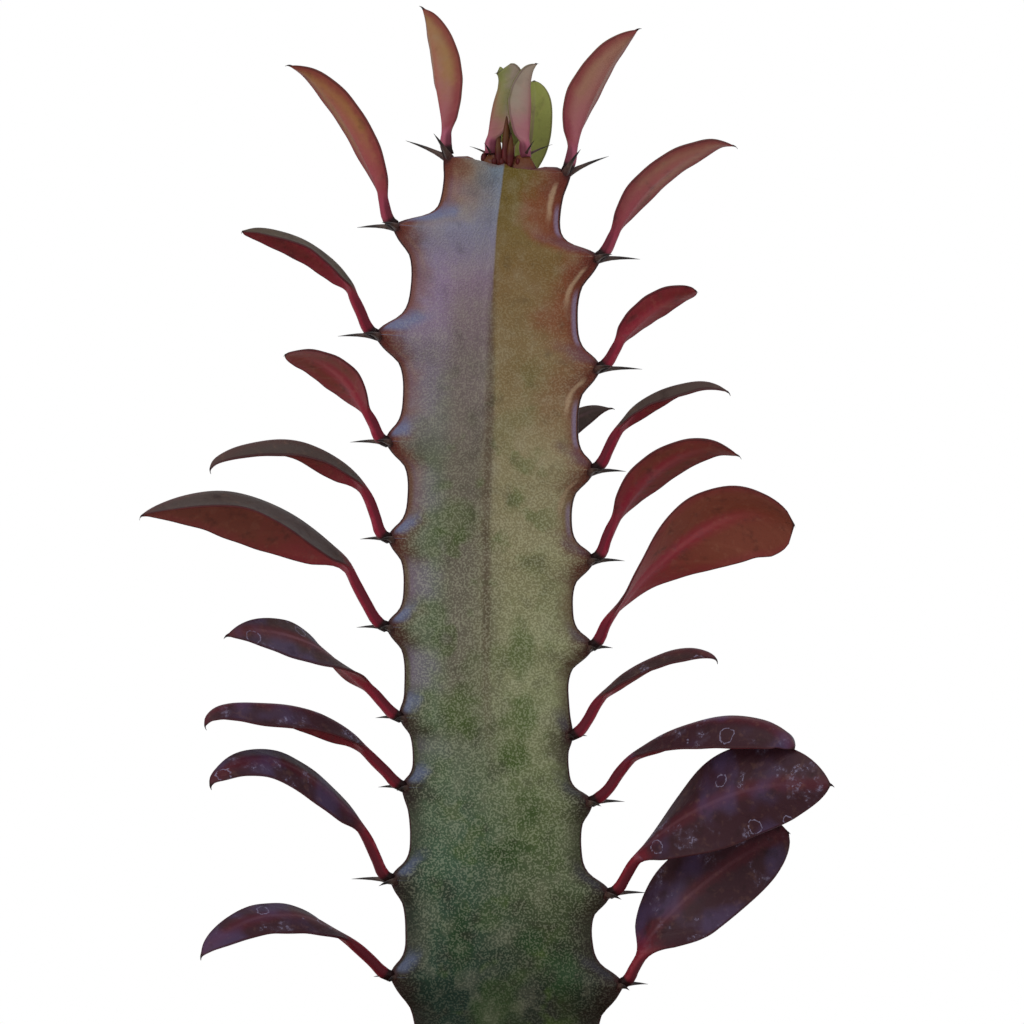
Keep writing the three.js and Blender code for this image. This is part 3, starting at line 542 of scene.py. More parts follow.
class StemSettings(bpy.types.PropertyGroup):
    """The stem's skin."""

    relief: measure(0.22, "Relief", "How far the flanks swell and sink at random")
    knuckle: measure(0.9, "Knuckle", "How far a flank thickens beside a tooth")
    # Bloomed colours: the flank on one side of each rib, partly the wax bloom's own blue-grey and partly a
    # painted sky reflection
    bloom_sheen_foot: shade(74, 66, 50, "Bloomed foot", "Bloomed flanks just above the soil")
    bloom_sheen_old: shade(20, 46, 34, "Bloomed old skin", "Bloomed flanks low on the stem")
    bloom_sheen_aged: shade(68, 96, 72, "Bloomed aged skin", "Bloomed flanks between old and grown skin")
    bloom_sheen_grown: shade(106, 120, 90, "Bloomed grown skin", "Bloomed flanks below the middle")
    bloom_sheen_middle: shade(110, 114, 94, "Bloomed middle skin", "Bloomed flanks above the middle")
    bloom_sheen_young: shade(146, 122, 148, "Bloomed young skin", "Bloomed flanks below the crown")
    bloom_sheen_crown: shade(124, 138, 152, "Bloomed crown", "Bloomed flanks at the crown")
    # Both palettes darken towards the foot: partly the old skin's own colour, partly painted shade
    bare_foot: shade(72, 60, 42, "Bare foot", "Bare flanks just above the soil")
    bare_old: shade(24, 36, 22, "Bare old skin", "Bare flanks low on the stem")
    bare_aged: shade(88, 102, 64, "Bare aged skin", "Bare flanks between old and grown skin")
    bare_grown: shade(140, 144, 104, "Bare grown skin", "Bare flanks below the middle")
    bare_middle: shade(146, 133, 98, "Bare middle skin", "Bare flanks above the middle")
    bare_young: shade(124, 96, 54, "Bare young skin", "Bare flanks below the crown")
    bare_crown: shade(106, 88, 28, "Bare crown", "Bare flanks at the crown")
    patch: shade(72, 94, 34, "Green patches", "Patches where the skin is greenest")
    patch_old: shade(30, 62, 26, "Old green patches", "Green patches low on the stem")
    # Painted shade along the crease between two ribs
    crease: shade(84, 62, 50, "Crease", "The line along the crease between two ribs")
    mauve: shade(126, 108, 98, "Mauve zone", "Bloomed skin beside the crease")
    rust: shade(128, 62, 38, "Rust", "Red-brown skin towards a young rib's edge")
    tan: shade(146, 118, 86, "Tan", "Bloomed skin towards the topmost tooth")
    flush: shade(104, 38, 28, "Tooth flush", "The red-brown around each young tooth")
    # Low on the stem the flush is dark: partly the old skin's colour, partly painted shade along the rib
    # edges
    flush_old_and_shade: shade(42, 28, 24, "Old tooth flush", "The dark skin around each old tooth")
    # Painted sky reflection on the shelf above each tooth
    shelf_sheen: shade(116, 130, 166, "Wax", "Blue wax above each tooth")
    # Lavender at the waists: partly the bloom's own colour, partly a painted sky sheen on the rounded rib
    # edges
    waist: shade(138, 122, 150, "Waist", "Lavender skin halfway between two teeth")
    # Painted highlight: the pale line from each tooth down to the waist
    streak: shade(190, 160, 128, "Streak", "Pale line from a tooth down to the waist")
    rim: shade(56, 20, 22, "Rim", "The dark line along each rib")
    cap: shade(112, 66, 36, "Cap", "The growing point around the buds")
    grain: shade(184, 184, 158, "Grain", "Fine pale grains all over the skin")


class SpineSettings(bpy.types.PropertyGroup):
    """The spines."""

    length: measure(8.2, "Length", "How far a full spine stands out of its tooth")
    radius: measure(0.72, "Radius", "A spine's radius above its swollen base")
    base: shade(60, 26, 22, "Base", "Swollen base of a spine")
    middle: shade(84, 62, 54, "Middle", "Weathered middle of a spine")
    tip: shade(30, 18, 16, "Tip", "Spine tip")


class LeafSettings(bpy.types.PropertyGroup):
    """The leaves."""

    petiole: measure(1.18, "Petiole radius", "Half a petiole's thickness")
    edge: measure(0.26, "Edge", "Half the blade's thickness at its edge")
    inner: measure(0.42, "Inner", "Half the blade's thickness beside the midrib")
    keel: measure(0.95, "Keel", "How far the midrib stands out below")
    upper_young: shade(146, 150, 78, "Young upper side", "Upper side of the youngest leaves")
    upper_second: shade(98, 86, 64, "Second upper side", "Upper side of the leaves next to them")
    upper_grown: shade(76, 62, 56, "Grown upper side", "Upper side halfway down the stem")
    upper_old: shade(58, 28, 36, "Old upper side", "Upper side of the oldest leaves")
    under_young: shade(158, 148, 116, "Young underside", "Underside of the youngest leaves")
    green_young: shade(122, 128, 62, "Green of young leaves", "Underside of the left young leaf")
    mauve_young: shade(158, 140, 128, "Mauve of young leaves", "Underside of the right young leaves")
    under_second: shade(160, 120, 78, "Second underside", "Underside of the leaves next to them")
    under_third: shade(160, 110, 62, "Third underside", "Underside below the topmost teeth")
    under_grown: shade(120, 58, 42, "Grown underside", "Underside halfway down the stem")
    under_deep: shade(114, 34, 32, "Deep underside", "Underside between the third and the grown leaves")
    under_old: shade(96, 32, 30, "Old underside", "Underside of the oldest leaves")
    rib_young: shade(170, 92, 112, "Young midrib", "Midrib and petiole of the youngest leaves")
    rib_grown: shade(148, 34, 56, "Grown midrib", "Midrib and petiole of the other leaves")
    rib_old: shade(122, 26, 40, "Old midrib", "Midrib and petiole of the oldest leaves")
    edge_line: shade(62, 22, 28, "Edge line", "The dark line along the edge")
    edge_blush: shade(130, 38, 50, "Edge blush", "The thin pink line inside the edge")
    # Lilac patches on the oldest leaves: partly bloom, partly a painted sky reflection
    lilac_bloom_sheen: shade(84, 72, 112, "Lilac bloom", "Bloom on the oldest leaves")
    lime: shade(154, 146, 174, "Lime", "Dried lime on the oldest leaves")


class PotSettings(bpy.types.PropertyGroup):
    """The terracotta pot."""

    height: measure(105, "Height", "The pot's height")
    top_radius: measure(62, "Top radius", "The rim's outer radius")
    foot_radius: measure(42, "Foot radius", "The foot's outer radius")
    wall: measure(5, "Wall", "The wall's thickness")
    floor: measure(7, "Floor", "The floor's thickness")
    rim_height: measure(22, "Rim height", "How far the rim reaches down")
    rim_step: measure(3.5, "Rim step", "How far the rim stands out")
    edge: measure(1.5, "Edge", "How much the edges are rounded")
    clay: shade(178, 98, 62, "Clay", "Fired clay")
    dark_clay: shade(146, 72, 44, "Dark clay", "Clay where the fire was hotter")
    chalk: shade(214, 178, 150, "Chalk", "Salts that dry on the clay")


class SoilSettings(bpy.types.PropertyGroup):
    """The potting mix."""

    top: measure(91, "Top", "Height of the mound's top")
    relief: measure(1.6, "Relief", "How bumpy the mix is")
    dark: shade(46, 34, 26, "Peat", "Dark peat")
    light: shade(96, 74, 54, "Fibre", "Lighter crumbs and fibres")
    bark: shade(92, 58, 36, "Bark", "Bark chips")
    pumice: shade(204, 198, 186, "Pumice", "Pale light grit")


class StageSettings(bpy.types.PropertyGroup):
    """Floor, light and camera."""

    floor_radius: measure(640, "Floor radius", "The round floor's radius")
    floor_colour: shade(232, 230, 226, "Floor", "The floor's colour")
    camera_distance: measure(600, "Camera distance", "From the stem's axis to the camera")
    camera_height: measure(240, "Camera height", "The camera's height")
    view_width: measure(225.28, "View width", "What the picture spans at the stem's axis")
    sky: amount(0.54, "Sky", "Strength of the even light from all around", 4)
    key: amount(6.8, "Key", "Power of the large light in front", 200)
    fill: amount(3.0, "Fill", "Power of the cool light from above", 200)


# How finely the stem is divided, across half a rib and up it, with more steps near the teeth
SECTION_PARTS = 14
PITCH_STEPS = 24
FOOT_STEPS = 22
CROWN_STEPS = 10
STEP_CROWDING = 0.09
FAR_OFF = 99

# A rib's rounded edge as how far in it is and how thick, the reach of a tooth's thickening, and where a
# flank swells: its share of the way to the crease, how far it swells, and which way
EDGE_PROFILE = ((0, 0), (0.32, 0.72), (1.1, 1.36))
KNUCKLE_REACH = 3.6
SWELLINGS = ((0.36, 0.7), (0.7, 0.56))
SWELL_WAY = np.array((0.3, 0.95))


def stem_steps():
    """The steps up a rib, counted in teeth: the foot, every pitch between two teeth, and the crown."""
    foot = np.linspace(0, 1, FOOT_STEPS, endpoint=False)
    even = np.linspace(0, 1, PITCH_STEPS, endpoint=False)
    near_teeth = even - STEP_CROWDING * np.sin(2 * math.pi * even)
    pitches = (1 + tooth + near_teeth for tooth in range(TOOTH_COUNT - 1))
    crown = np.linspace(TOOTH_COUNT, TOOTH_COUNT + 1, CROWN_STEPS)
    return np.concatenate((foot, *pitches, crown))


def rib_run(rib, steps):
    """A rib's height, reach and toothless reach at each step, and how far it is above and below teeth."""
    _, _, teeth, crown = RIBS[rib]
    heights, reaches, waists = (np.array(column, float) for column in zip(*teeth))
    height, reach, body = (np.zeros(len(steps)) for _ in range(3))
    foot = steps < 1
    height[foot] = blend(STEM_FOOT, heights[0], steps[foot])
    reach[foot] = body[foot] = blend(FOOT_REACH, waists[0], smooth(steps[foot], 0, 1))
    near_first = foot & (steps > FIRST_TOOTH_FROM)
    rise = smooth(steps[near_first], FIRST_TOOTH_FROM, 1) ** 2
    reach[near_first] += (reaches[0] - waists[0]) * rise
    for tooth in range(TOOTH_COUNT - 1):
        here = (steps >= tooth + 1) & (steps < tooth + 2)
        share = steps[here] - tooth - 1
        waist = waists[tooth]
        before = waists[max(tooth - 1, 0)]
        after = waists[tooth + 1] if tooth + 2 < TOOTH_COUNT else waist
        height[here] = blend(heights[tooth], heights[tooth + 1], share)
        reach[here] = (waist + flowing(TOOTH_FALL, share) * (reaches[tooth] - waist)
                       + flowing(TOOTH_RISE, share) * (reaches[tooth + 1] - waist))
        body[here] = np.where(share < 0.5, blend((before + waist) / 2, waist, share * 2),
                              blend(waist, (waist + after) / 2, share * 2 - 1))
    top = steps >= TOOTH_COUNT
    share = (steps[top] - TOOTH_COUNT) * len(crown)
    crown_line = ((reaches[-1], heights[-1]), *crown)
    reach[top] = np.interp(share, range(len(crown) + 1), [r for r, _ in crown_line])
    height[top] = np.interp(share, range(len(crown) + 1), [h for _, h in crown_line])
    body[top] = reach[top] * blend(CROWN_TAPER, 1, smooth(share, 0, 1))
    above = np.array([min((h - t for t in heights if t <= h), default=FAR_OFF) for h in height])
    below = np.array([min((t - h for t in heights if t >= h), default=FAR_OFF) for h in height])
    sag = CROWN_SAG * smooth(steps, TOOTH_COUNT, TOOTH_COUNT + 0.3)
    return {"height": height, "reach": reach, "body": body, "above": above, "below": below, "sag": sag}


def flank_lines(run, crease, half_turn, knuckle):
    """Control points of a rib's flank at every step: along the rib, across it and share to the crease."""
    scale = np.minimum(1, run["reach"] / FULL_REACH)
    near = np.exp(-(np.minimum(run["above"], run["below"]) / KNUCKLE_REACH) ** 2)
    drop = SHOULDER_DROP * scale
    half = (SHOULDER_HALF + knuckle * 0.5 * near) * scale
    reach = run["reach"]
    inner = np.minimum(run["body"], reach) - drop
    low = np.stack((crease * math.cos(half_turn), crease * math.sin(half_turn)), axis=-1)
    start = np.stack((inner, half), axis=-1)
    lines = [(np.stack((reach - inwards * scale, thick * scale), axis=-1), 0)
             for inwards, thick in EDGE_PROFILE]
    lines.append((np.stack((reach - drop, half), axis=-1), 0))
    for share, swell in SWELLINGS:
        bulge = (swell + knuckle * near * (1 - share) ** 2) * scale
        lines.append((blend(start, low, share) + bulge[:, None] * SWELL_WAY, share))
    lines.append((low, 1))
    return np.stack([np.concatenate((line, np.full((len(reach), 1), share)), axis=1)
                     for line, share in lines], axis=1)


def flank_places(rib, run, sign, crease_height, lines):
    """The flank in its place beside its rib, with how far each point is from the edge and the crease."""
    share = np.linspace(0, 1, SECTION_PARTS + 1)
    at = 6 * (0.55 * share + 0.45 * share ** 2)
    section = through(lines, at)
    to_crease = np.clip(section[..., 2], 0, 1)
    along = direction(RIBS[rib][0])
    across = np.array((-along[1], along[0], 0)) * sign
    height = blend(run["height"][:, None], crease_height[:, None], to_crease)
    height = height - run["sag"][:, None] * 4 * to_crease * (1 - to_crease)
    places = (axis_point(height) + section[..., :1] * along + section[..., 1:2] * across)
    steps = np.linalg.norm(np.diff(section[..., :2], axis=1), axis=-1)
    inward = np.concatenate((np.zeros((len(height), 1)), np.cumsum(steps, axis=1)), axis=1)
    notes = {
        "inward": inward,
        "turn": sign * (inward[:, -1:] - inward),
        "above": run["above"][:, None] + 0 * inward,
        "below": run["below"][:, None] + 0 * inward,
    }
    return places, notes


def stem_skin_rings(knuckle):
    steps = stem_steps()
    names = list(RIBS)
    runs = {rib: rib_run(rib, steps) for rib in names}
    columns, notes = [], {}
    for k, rib in enumerate(names):
        after = names[(k + 1) % len(names)]
        run, next_run = runs[rib], runs[after]
        half_turn = radians(((RIBS[after][0] - RIBS[rib][0] + 720) % 360) / 2)
        crease_height = (run["height"] + next_run["height"]) / 2
        share = blend(*CREASE_SHARES, smooth(crease_height, *CREASE_HEIGHTS))
        crease = share * (run["body"] + next_run["body"]) / 2
        down, down_notes = flank_places(
            rib, run, 1, crease_height, flank_lines(run, crease, half_turn, knuckle))
        up, up_notes = flank_places(
            after, next_run, -1, crease_height, flank_lines(next_run, crease, half_turn, knuckle))
        columns += [down, up[:, -2:0:-1]]
        for key in down_notes:
            notes.setdefault(key, []).extend([down_notes[key], up_notes[key][:, -2:0:-1]])
    rings = np.concatenate(columns, axis=1)
    return rings, {key: np.concatenate(value, axis=1) for key, value in notes.items()}


def tooth_point(rib, tooth, out, up):
    """A place counted from a tooth's tip. Teeth are counted from the top, where 0 is the crown's own."""
    azimuth, _, teeth, crown = RIBS[rib]
    height, reach = teeth[TOOTH_COUNT - tooth][:2] if tooth > 0 else crown[2][::-1]
    return axis_point(height + up) + direction(azimuth) * (reach + out)


# Where the front of the stem is greenest: beside the frame's middle, height, half width and half height
GREEN_PATCHES = ((2, 210, 2.7, 6), (2.4, 195.5, 2.7, 4.6), (0.4, 187, 3.2, 3.4), (-0.6, 166, 5.6, 3.2),
                 (3.6, 176, 2.8, 4), (4.1, 147.5, 3, 2.8), (11, 141.6, 4.4, 5.6), (-11.3, 148, 2.6, 7.6),
                 (-12.4, 238, 4.4, 4.8), (-11.2, 197, 4, 5.4))
# Heights of the stem's palette colours; the low ones darken towards the foot, partly the old skin's own
# colour and partly painted shade
STEM_LEVELS = (("foot", 76), ("old", 138), ("aged", 166), ("grown", 198), ("middle", 250), ("young", 286),
               ("crown", 314))


def green_patches(r, soft):
    """The stem's own green patches on its front, with ragged edges."""
    beside, behind, height = (r.place(axis) for axis in "XYZ")
    most = 0.0
    for x, z, half_width, half_height in GREEN_PATCHES:
        away = ((beside - x) / half_width) ** 2 + ((height - z) / half_height) ** 2
        patch = r.band(away + soft * 1.8, 1.9, 0.0)
        most = patch.sum("MAXIMUM", most, patch)
    return most * r.band(behind, 0, -3)


def stem_finish(stem):
    r = material("stem_skin")
    height, inward, turn = r.height(), r.note("inward"), r.note("turn")
    above, below = r.note("above"), r.note("below")
    soft = r.grain(3.2, 2) - 0.5
    wander = (r.grain(22, 2) - 0.5) * 26
    # Two palettes up the stem: the bloomed one is partly wax bloom and partly a painted sky reflection, the
    # bare one is the plain skin
    bloomed_and_sheened, bare = (
        r.palette(height + wander, 60, 330, [(z, getattr(stem, f"{side}_{key}")) for key, z in STEM_LEVELS])
        for side in ("bloom_sheen", "bare"))
    width = 0.3 + r.band(height, 296, 186) * 9
    # Which flank carries the bloom and the painted sky reflection
    on_bloom_sheen = r.band(turn / width + soft * 0.7, -1, 1)
    top = r.band(height, 296, 308)
    drift = r.grain(8, 3, 0.55, shift=5.0) - 0.5
    bare = r.mix(bare, stem.rust, r.band(inward + drift * 16, 12, 3) * r.band(height, 236, 296) * 0.8)
    beside_crease = r.band(turn + soft * 3, 12.5, 7) * r.band(height, 302, 280) * r.band(height, 176, 206)
    bloomed_and_sheened = r.coats(
        bloomed_and_sheened,
        (stem.mauve, beside_crease * 0.6),
        (stem.tan, r.band(inward + soft * 4, 14, 3) * top * 0.9))
    warm = r.mix(stem.rust, stem.tan, 0.6)
    bloomed_and_sheened = r.mix(bloomed_and_sheened, warm, r.band(inward + soft * 5, 6.5, 1.5) * r.band(height, 190, 290) * 0.65)
    colour = r.mix(bare, bloomed_and_sheened, on_bloom_sheen)
    cloud = r.grain(5, 3, 0.55)
    broad = r.grain(11, 2, 0.5, shift=3.0)
    green = r.band(height, 290, 236) * r.band(turn.size(), 19, 9)
    colour = r.coats(
        colour,
        (stem.patch, green * r.band(broad, 0.5, 0.7) * 0.34),
        (stem.patch, r.band(r.grain(6, 2, shift=8.0), 0.56, 0.68) * green * 0.5))
    deep = r.mix(stem.patch_old, stem.patch, r.band(height, 148, 196))
    colour = r.mix(colour, deep, green_patches(r, soft) * (0.58 + 0.3 * r.band(height, 216, 180)))
    # Painted shade in the crease between two ribs, at middle heights
    line = r.band(turn + soft * 0.8, -1.6, -0.1) * r.band(turn + soft * 0.8, 1.8, 0.2)
    colour = r.mix(colour, stem.crease, line * r.band(height, 304, 276) * r.band(height, 172, 226) * 0.6)
    # Dark clouds at random, stronger towards the bottom of the stem
    dark_clouds = r.band(cloud, 0.52, 0.74) * (0.3 + 0.25 * r.band(height, 210, 160))
    colour = r.coats(
        colour,
        (DARK_CLOUD, dark_clouds),
        (PALE_CLOUD, r.band(cloud, 0.52, 0.3) * 0.14))
    from_tooth = (inward ** 2 + above.least(below) ** 2) ** 0.5
    # Flush round each tooth and along each rib edge: red-brown above; low down dark, partly old skin and
    # partly painted shade, in a band that widens downwards
    flush = r.mix(stem.flush_old_and_shade, stem.flush, r.band(height, 176, 262))
    colour = r.mix(colour, flush, r.band(from_tooth + soft * 5, 8.5, 1.2) * 0.9)
    flush_width = 4.4 + r.band(height, 190, 150) * 2.4
    colour = r.mix(colour, flush, r.band((inward + soft * 3) / flush_width, 1, 0.1) * 0.62)
    # Painted sky reflection: blue on the upward shelf above each tooth, strongest on the bloomed flank
    shelf_width = 5 + r.band(height, 235, 290) * 4
    shelf = r.band(above, 0.4, 1.8) * r.band(above + soft * 4, 7, 2.5)
    shelf = shelf * r.band((inward + soft * 4) / shelf_width, 1, 0.4) * r.band(inward, 0.5, 1.4)
    shelf_sheen_share = shelf * (0.12 + 0.6 * on_bloom_sheen) * (0.6 + 0.4 * r.band(height, 170, 215))
    colour = r.mix(colour, stem.shelf_sheen, shelf_sheen_share)
    # Lavender band at each waist on the bloomed flank: partly bloom colour, partly painted sky sheen
    waist = r.band(above, 4.5, 8) * r.band(below, 2.5, 7)
    band = waist * r.band(inward + soft * 5, 10, 4) * r.band(inward, 0.8, 2) * on_bloom_sheen
    band = band * (0.3 + 0.2 * r.band(height, 250, 220)) * r.band(height, 176, 206)
    colour = r.mix(colour, stem.waist, band)
    # Painted sky sheen along the bare flank's rounded rib edge at the waists
    margin_sheen = r.band(inward, 1.9, 1) * r.band(inward, 0.4, 0.7) * r.band(height, 222, 248)
    margin_sheen = margin_sheen * r.band(above, 4, 6) * r.band(below, 6, 9)
    colour = r.mix(colour, stem.waist, margin_sheen * (1 - on_bloom_sheen) * 0.75)
    # Painted highlight along the rib edge below each tooth, mostly on the bare flank
    highlight_trail = r.band((inward - 2.7 + soft).size(), 0.9, 0.15) * r.band(below, 12, 7) * r.band(below, 1.6, 3.5)
    colour = r.mix(colour, stem.streak, highlight_trail * r.band(height, 226, 262) * (0.62 - 0.5 * on_bloom_sheen))
    speckle = r.band(r.grain(0.4, 0, 0.5) - (r.cells(0.5) - 0.45) * 0.3, 0.32, 0.68)
    strength = 0.25 + 0.3 * r.band(height, 306, 262) + 0.45 * r.band(height, 262, 226)
    strength = strength * (0.35 + 0.65 * r.band(inward, 0.8, 5)) * (0.5 + 0.5 * r.band(height, 126, 150))
    strength = strength * (0.55 + 0.45 * r.band(height, 132, 170)) * 0.24
    colour = r.coats(
        colour,
        (stem.grain, r.band(speckle, 0.45, 0.9) * strength),
        (DARK_SPECKLE, r.band(speckle, 0.55, 0.1) * strength),
        (stem.rim, r.band(inward, 0.5, 0.2)),
        (stem.rim, r.band(from_tooth, 2.4, 1.1) * 0.8))
    beside, behind = r.place("X") + 2, r.place("Y")
    cap = r.band((beside ** 2 + behind ** 2) ** 0.5, 9.5, 7.5) * r.band(height + soft * 2, 314.6, 316.4)
    colour = r.mix(colour, stem.cap, cap * 0.8)
    dots = r.band(r.cells(9), 0.034, 0.022) * r.band(r.grain(30, 1, shift=9.0), 0.5, 0.56)
    colour = r.mix(colour, BLACK_DOT, dots)
    corky = r.band(height + wander, 110, 94)
    colour = r.mix(colour, CORK, corky * r.band(r.grain(2.4, 3, 0.6), 0.42, 0.6) * 0.8)
    relief = r.bump(speckle * 0.5 + cloud * 0.9, 0.14)
    return r.done(colour, 0.44 + 0.14 * speckle, relief, 0.2)


class Midrib:
    """A rounded curve through a leaf's path, read by the share of its length."""

    def __init__(self, points, root):
        points = np.array([root, *points], float)
        full = np.concatenate((2 * points[:1] - points[1:2], points, 2 * points[-1:] - points[-2:-1]))
        line = []
        for row in range(len(points) - 1):
            line.append(self.piece(full[row:row + 4], np.linspace(0, 1, CURVE_STEPS, endpoint=False)))
        line.append(points[-1:])
        self.line = np.concatenate(line)
        steps = np.linalg.norm(np.diff(self.line, axis=0), axis=1)
        runs = np.concatenate(([0], np.cumsum(steps)))
        self.runs = runs - runs[CURVE_STEPS]
        self.length = self.runs[-1]

    @staticmethod
    def piece(points, at):
        """One stretch of a centripetal curve, between the second and the third of four points."""
        p0, p1, p2, p3 = points
        d0, d1, d2 = np.linalg.norm(np.diff(points, axis=0), axis=1) ** 0.5
        start = d1 * ((p1 - p0) / d0 - (p2 - p0) / (d0 + d1) + (p2 - p1) / d1)
        end = d1 * ((p2 - p1) / d1 - (p3 - p1) / (d1 + d2) + (p3 - p2) / d2)
        at = at[:, None]
        return (p1 + start * at + (3 * (p2 - p1) - 2 * start - end) * at ** 2
                + (2 * (p1 - p2) + start + end) * at ** 3)

    def place(self, at):
        return np.array([np.interp(at * self.length, self.runs, self.line[:, k]) for k in range(3)])

    def heading(self, at):
        step = 0.3 / self.length
        way = self.place(min(at + step, 1)) - self.place(at - step)
        return way / np.linalg.norm(way)


# How finely a leaf is divided, across half a side and along it, with more stations near its end
HALF_COLUMNS = 8
STATIONS = 58
END_CROWDING = 0.28
CURVE_STEPS = 40

# Where a leaf is rooted in its tooth, out and up, and the rings that stand in the tooth, back and radius
FOOT_PLACE = (-1.7, -0.5)
YOUNG_FOOT_PLACE = (-0.4, -1.6)
FOOT_RINGS = ((-2.0, 1.25), (-1.0, 1.2))

# The tiny hook at a leaf's end, shorter on a young leaf and on a blunt one
HOOK_LENGTH = 0.9
SHORT_HOOK = 0.3
BLUNT_FROM = 2.7
HOOK_HALF = 0.26
HOOK_END = 0.04
HOOK_BEND = 0.5
HOOK_STATIONS = 4

# How full a blade is towards its petiole and its end, and fuller where it is widest near its end
BASE_FULLNESS = 0.85
SPATULATE = 1.7
SPATULATE_FROM = 0.6
TIP_FULLNESS = 1.8

# How quickly a blade's fold flattens out from the midrib, the waves along its edge as height, how many and
# how they shift from leaf to leaf, and the keel's half width and the groove above it
FOLD_POWER = 3.2
WAVES = ((0.16, 14, 1), (0.05, 37, 2))
WAVE_SHIFT = 1.7
KEEL_HALF = 0.95
GROOVE = 0.16

# Where along a leaf its roll is complete, where its petiole begins to flatten, as a share of the petiole,
# and over how much of the leaf, where the blade thins towards its end, and how far and over how many
# millimetres the petiole swells at its foot
ROLLED_BY = 0.7
FLATTENS_FROM = 0.7
FLATTENS_OVER = 0.14
THINS_FROM = 0.82
PETIOLE_SWELL = 0.1
PETIOLE_SWELL_LENGTH = 3


def blade_share(at, petiole, widest, blunt):
    """The blade's width at a share of the leaf's length, as a share of its full width."""
    if at <= petiole:
        return 0.0
    if at < widest:
        fullness = BASE_FULLNESS + SPATULATE * max(0.0, widest - SPATULATE_FROM)
        return math.sin(math.pi / 2 * ((at - petiole) / (widest - petiole)) ** fullness)
    return max(0.0, 1 - ((at - widest) / (1 - widest)) ** blunt) ** (TIP_FULLNESS / blunt)


def leaf_section():
    """Round a leaf: how far across, 1 on the upper side, 1 above and -1 below, and the petiole's angle."""
    across = np.sin(np.linspace(math.pi / 2, -math.pi / 2, 2 * HALF_COLUMNS + 1))
    section = np.concatenate((across, [-1.0], across[::-1], [1.0]))
    upper = np.concatenate((np.ones(len(across)), [0.5], np.zeros(len(across)), [0.5]))
    sides = 2 * upper - 1
    angles = np.where(upper > 0.5, 90 - 70 * section, 270 + 70 * section)
    angles = np.where(upper == 0.5, np.where(section < 0, 180, 0), angles)
    return section, upper, sides, np.radians(angles)


def leaf_piece(row, leaf):
    """One leaf: a round petiole that runs into a thin, folded and rolled blade with a keel below."""
    rib, tooth, half_width, rolls, fold, petiole, widest, blunt, path = row
    azimuth, front = RIBS[rib][:2]
    out = direction(azimuth)
    side = np.array((-out[1], out[0], 0)) * front
    tip = tooth_point(rib, tooth, 0, 0)
    points = [tip + out * p[0] + np.array((0, 0, p[1])) + side * (p[2] if len(p) > 2 else 0) for p in path]
    young = tooth == 0
    curve = Midrib(points, tooth_point(rib, tooth, *(YOUNG_FOOT_PLACE if young else FOOT_PLACE)))
    stalk = leaf.petiole / MM
    section, upper, sides, angles = leaf_section()
    shares = np.linspace(0, 1, STATIONS)
    shares = (1 - END_CROWDING) * shares + END_CROWDING * (1 - (1 - shares) ** 2)
    hook_from = 1 - (SHORT_HOOK if young or blunt > BLUNT_FROM else HOOK_LENGTH) / curve.length
    stations = [(back / curve.length, radius) for back, radius in FOOT_RINGS]
    hook_at = np.linspace(hook_from, 1, HOOK_STATIONS)[1:]
    stations += [(at, None) for at in (*(shares * hook_from), *hook_at)]
    rings, notes = [], {}
    for at, radius in stations:
        on = min(max(at / hook_from, 0.0), 1.0)
        hook = max(0.0, (at - hook_from) / (1 - hook_from))
        centre = curve.place(at)
        along = curve.heading(at)
        across = side - along * side.dot(along)
        across /= np.linalg.norm(across)
        lift = np.cross(along, across) * front
        roll = radians(blend(*rolls, float(smooth(on, petiole, ROLLED_BY))))
        wide = across * math.cos(roll) + lift * math.sin(roll)
        thick = lift * math.cos(roll) - across * math.sin(roll)
        width = blade_share(on, petiole, widest, blunt)
        flare = stalk * (1 - float(smooth(on, petiole, widest)))
        centre = centre - lift * HOOK_BEND * hook ** 2
        half = max(blend(HOOK_HALF, HOOK_END, hook), math.hypot(flare, half_width * width))
        blade = float(smooth(on, petiole * FLATTENS_FROM, petiole + FLATTENS_OVER))
        taper = (1 - 0.5 * float(smooth(on, THINS_FROM, 1))) * (1 - 0.7 * hook)
        spread = np.abs(section)
        bend = radians(fold) * (1 - (1 - spread) ** FOLD_POWER)
        wave = width * sum(height * math.sin(count * on + shift * WAVE_SHIFT * tooth)
                           for height, count, shift in WAVES)
        body = blend(leaf.inner, leaf.edge, smooth(spread, 0.2, 1)) / MM * taper
        keel = leaf.keel / MM * taper * (1 - 0.7 * float(smooth(on, 0.3, 1)))
        ridge = np.exp(-(section * half / (KEEL_HALF * (1 - 0.5 * on))) ** 2)
        x = half * section * np.cos(bend)
        y = -half * spread * np.sin(bend) + wave * section * spread
        y = y + sides * body - np.where(sides < 0, ridge * (keel - body.max()).clip(0), 0)
        y = y - np.where(sides > 0, ridge * GROOVE * blade, 0)
        x = x + np.where(sides == 0, section * leaf.edge / MM * 0.7 * taper, 0)
        swell = PETIOLE_SWELL * float(smooth(on * curve.length, PETIOLE_SWELL_LENGTH, 0))
        around = radius or stalk * (1 + swell)
        x = blend(around * np.cos(angles), x, blade)
        y = blend(around * np.sin(angles), y, blade)
        rings.append(centre + x[:, None] * wide + y[:, None] * thick)
        told = {
            "along": on, "aside": section * half, "edge": (1 - spread) * half, "upper": upper,
            "blade": blade, "age": tooth / LAST_LEAF, "reach": at * curve.length,
            "pink": rib == "right" and tooth in (1, 2), "hook": at >= hook_from,
        }
        for key, value in told.items():
            notes.setdefault(key, []).append(value + 0.0 * section)
    name = f"leaf_{rib}_{tooth:02d}"
    return skin_over(f"{name}_fine", rings, {key: np.array(value) for key, value in notes.items()})


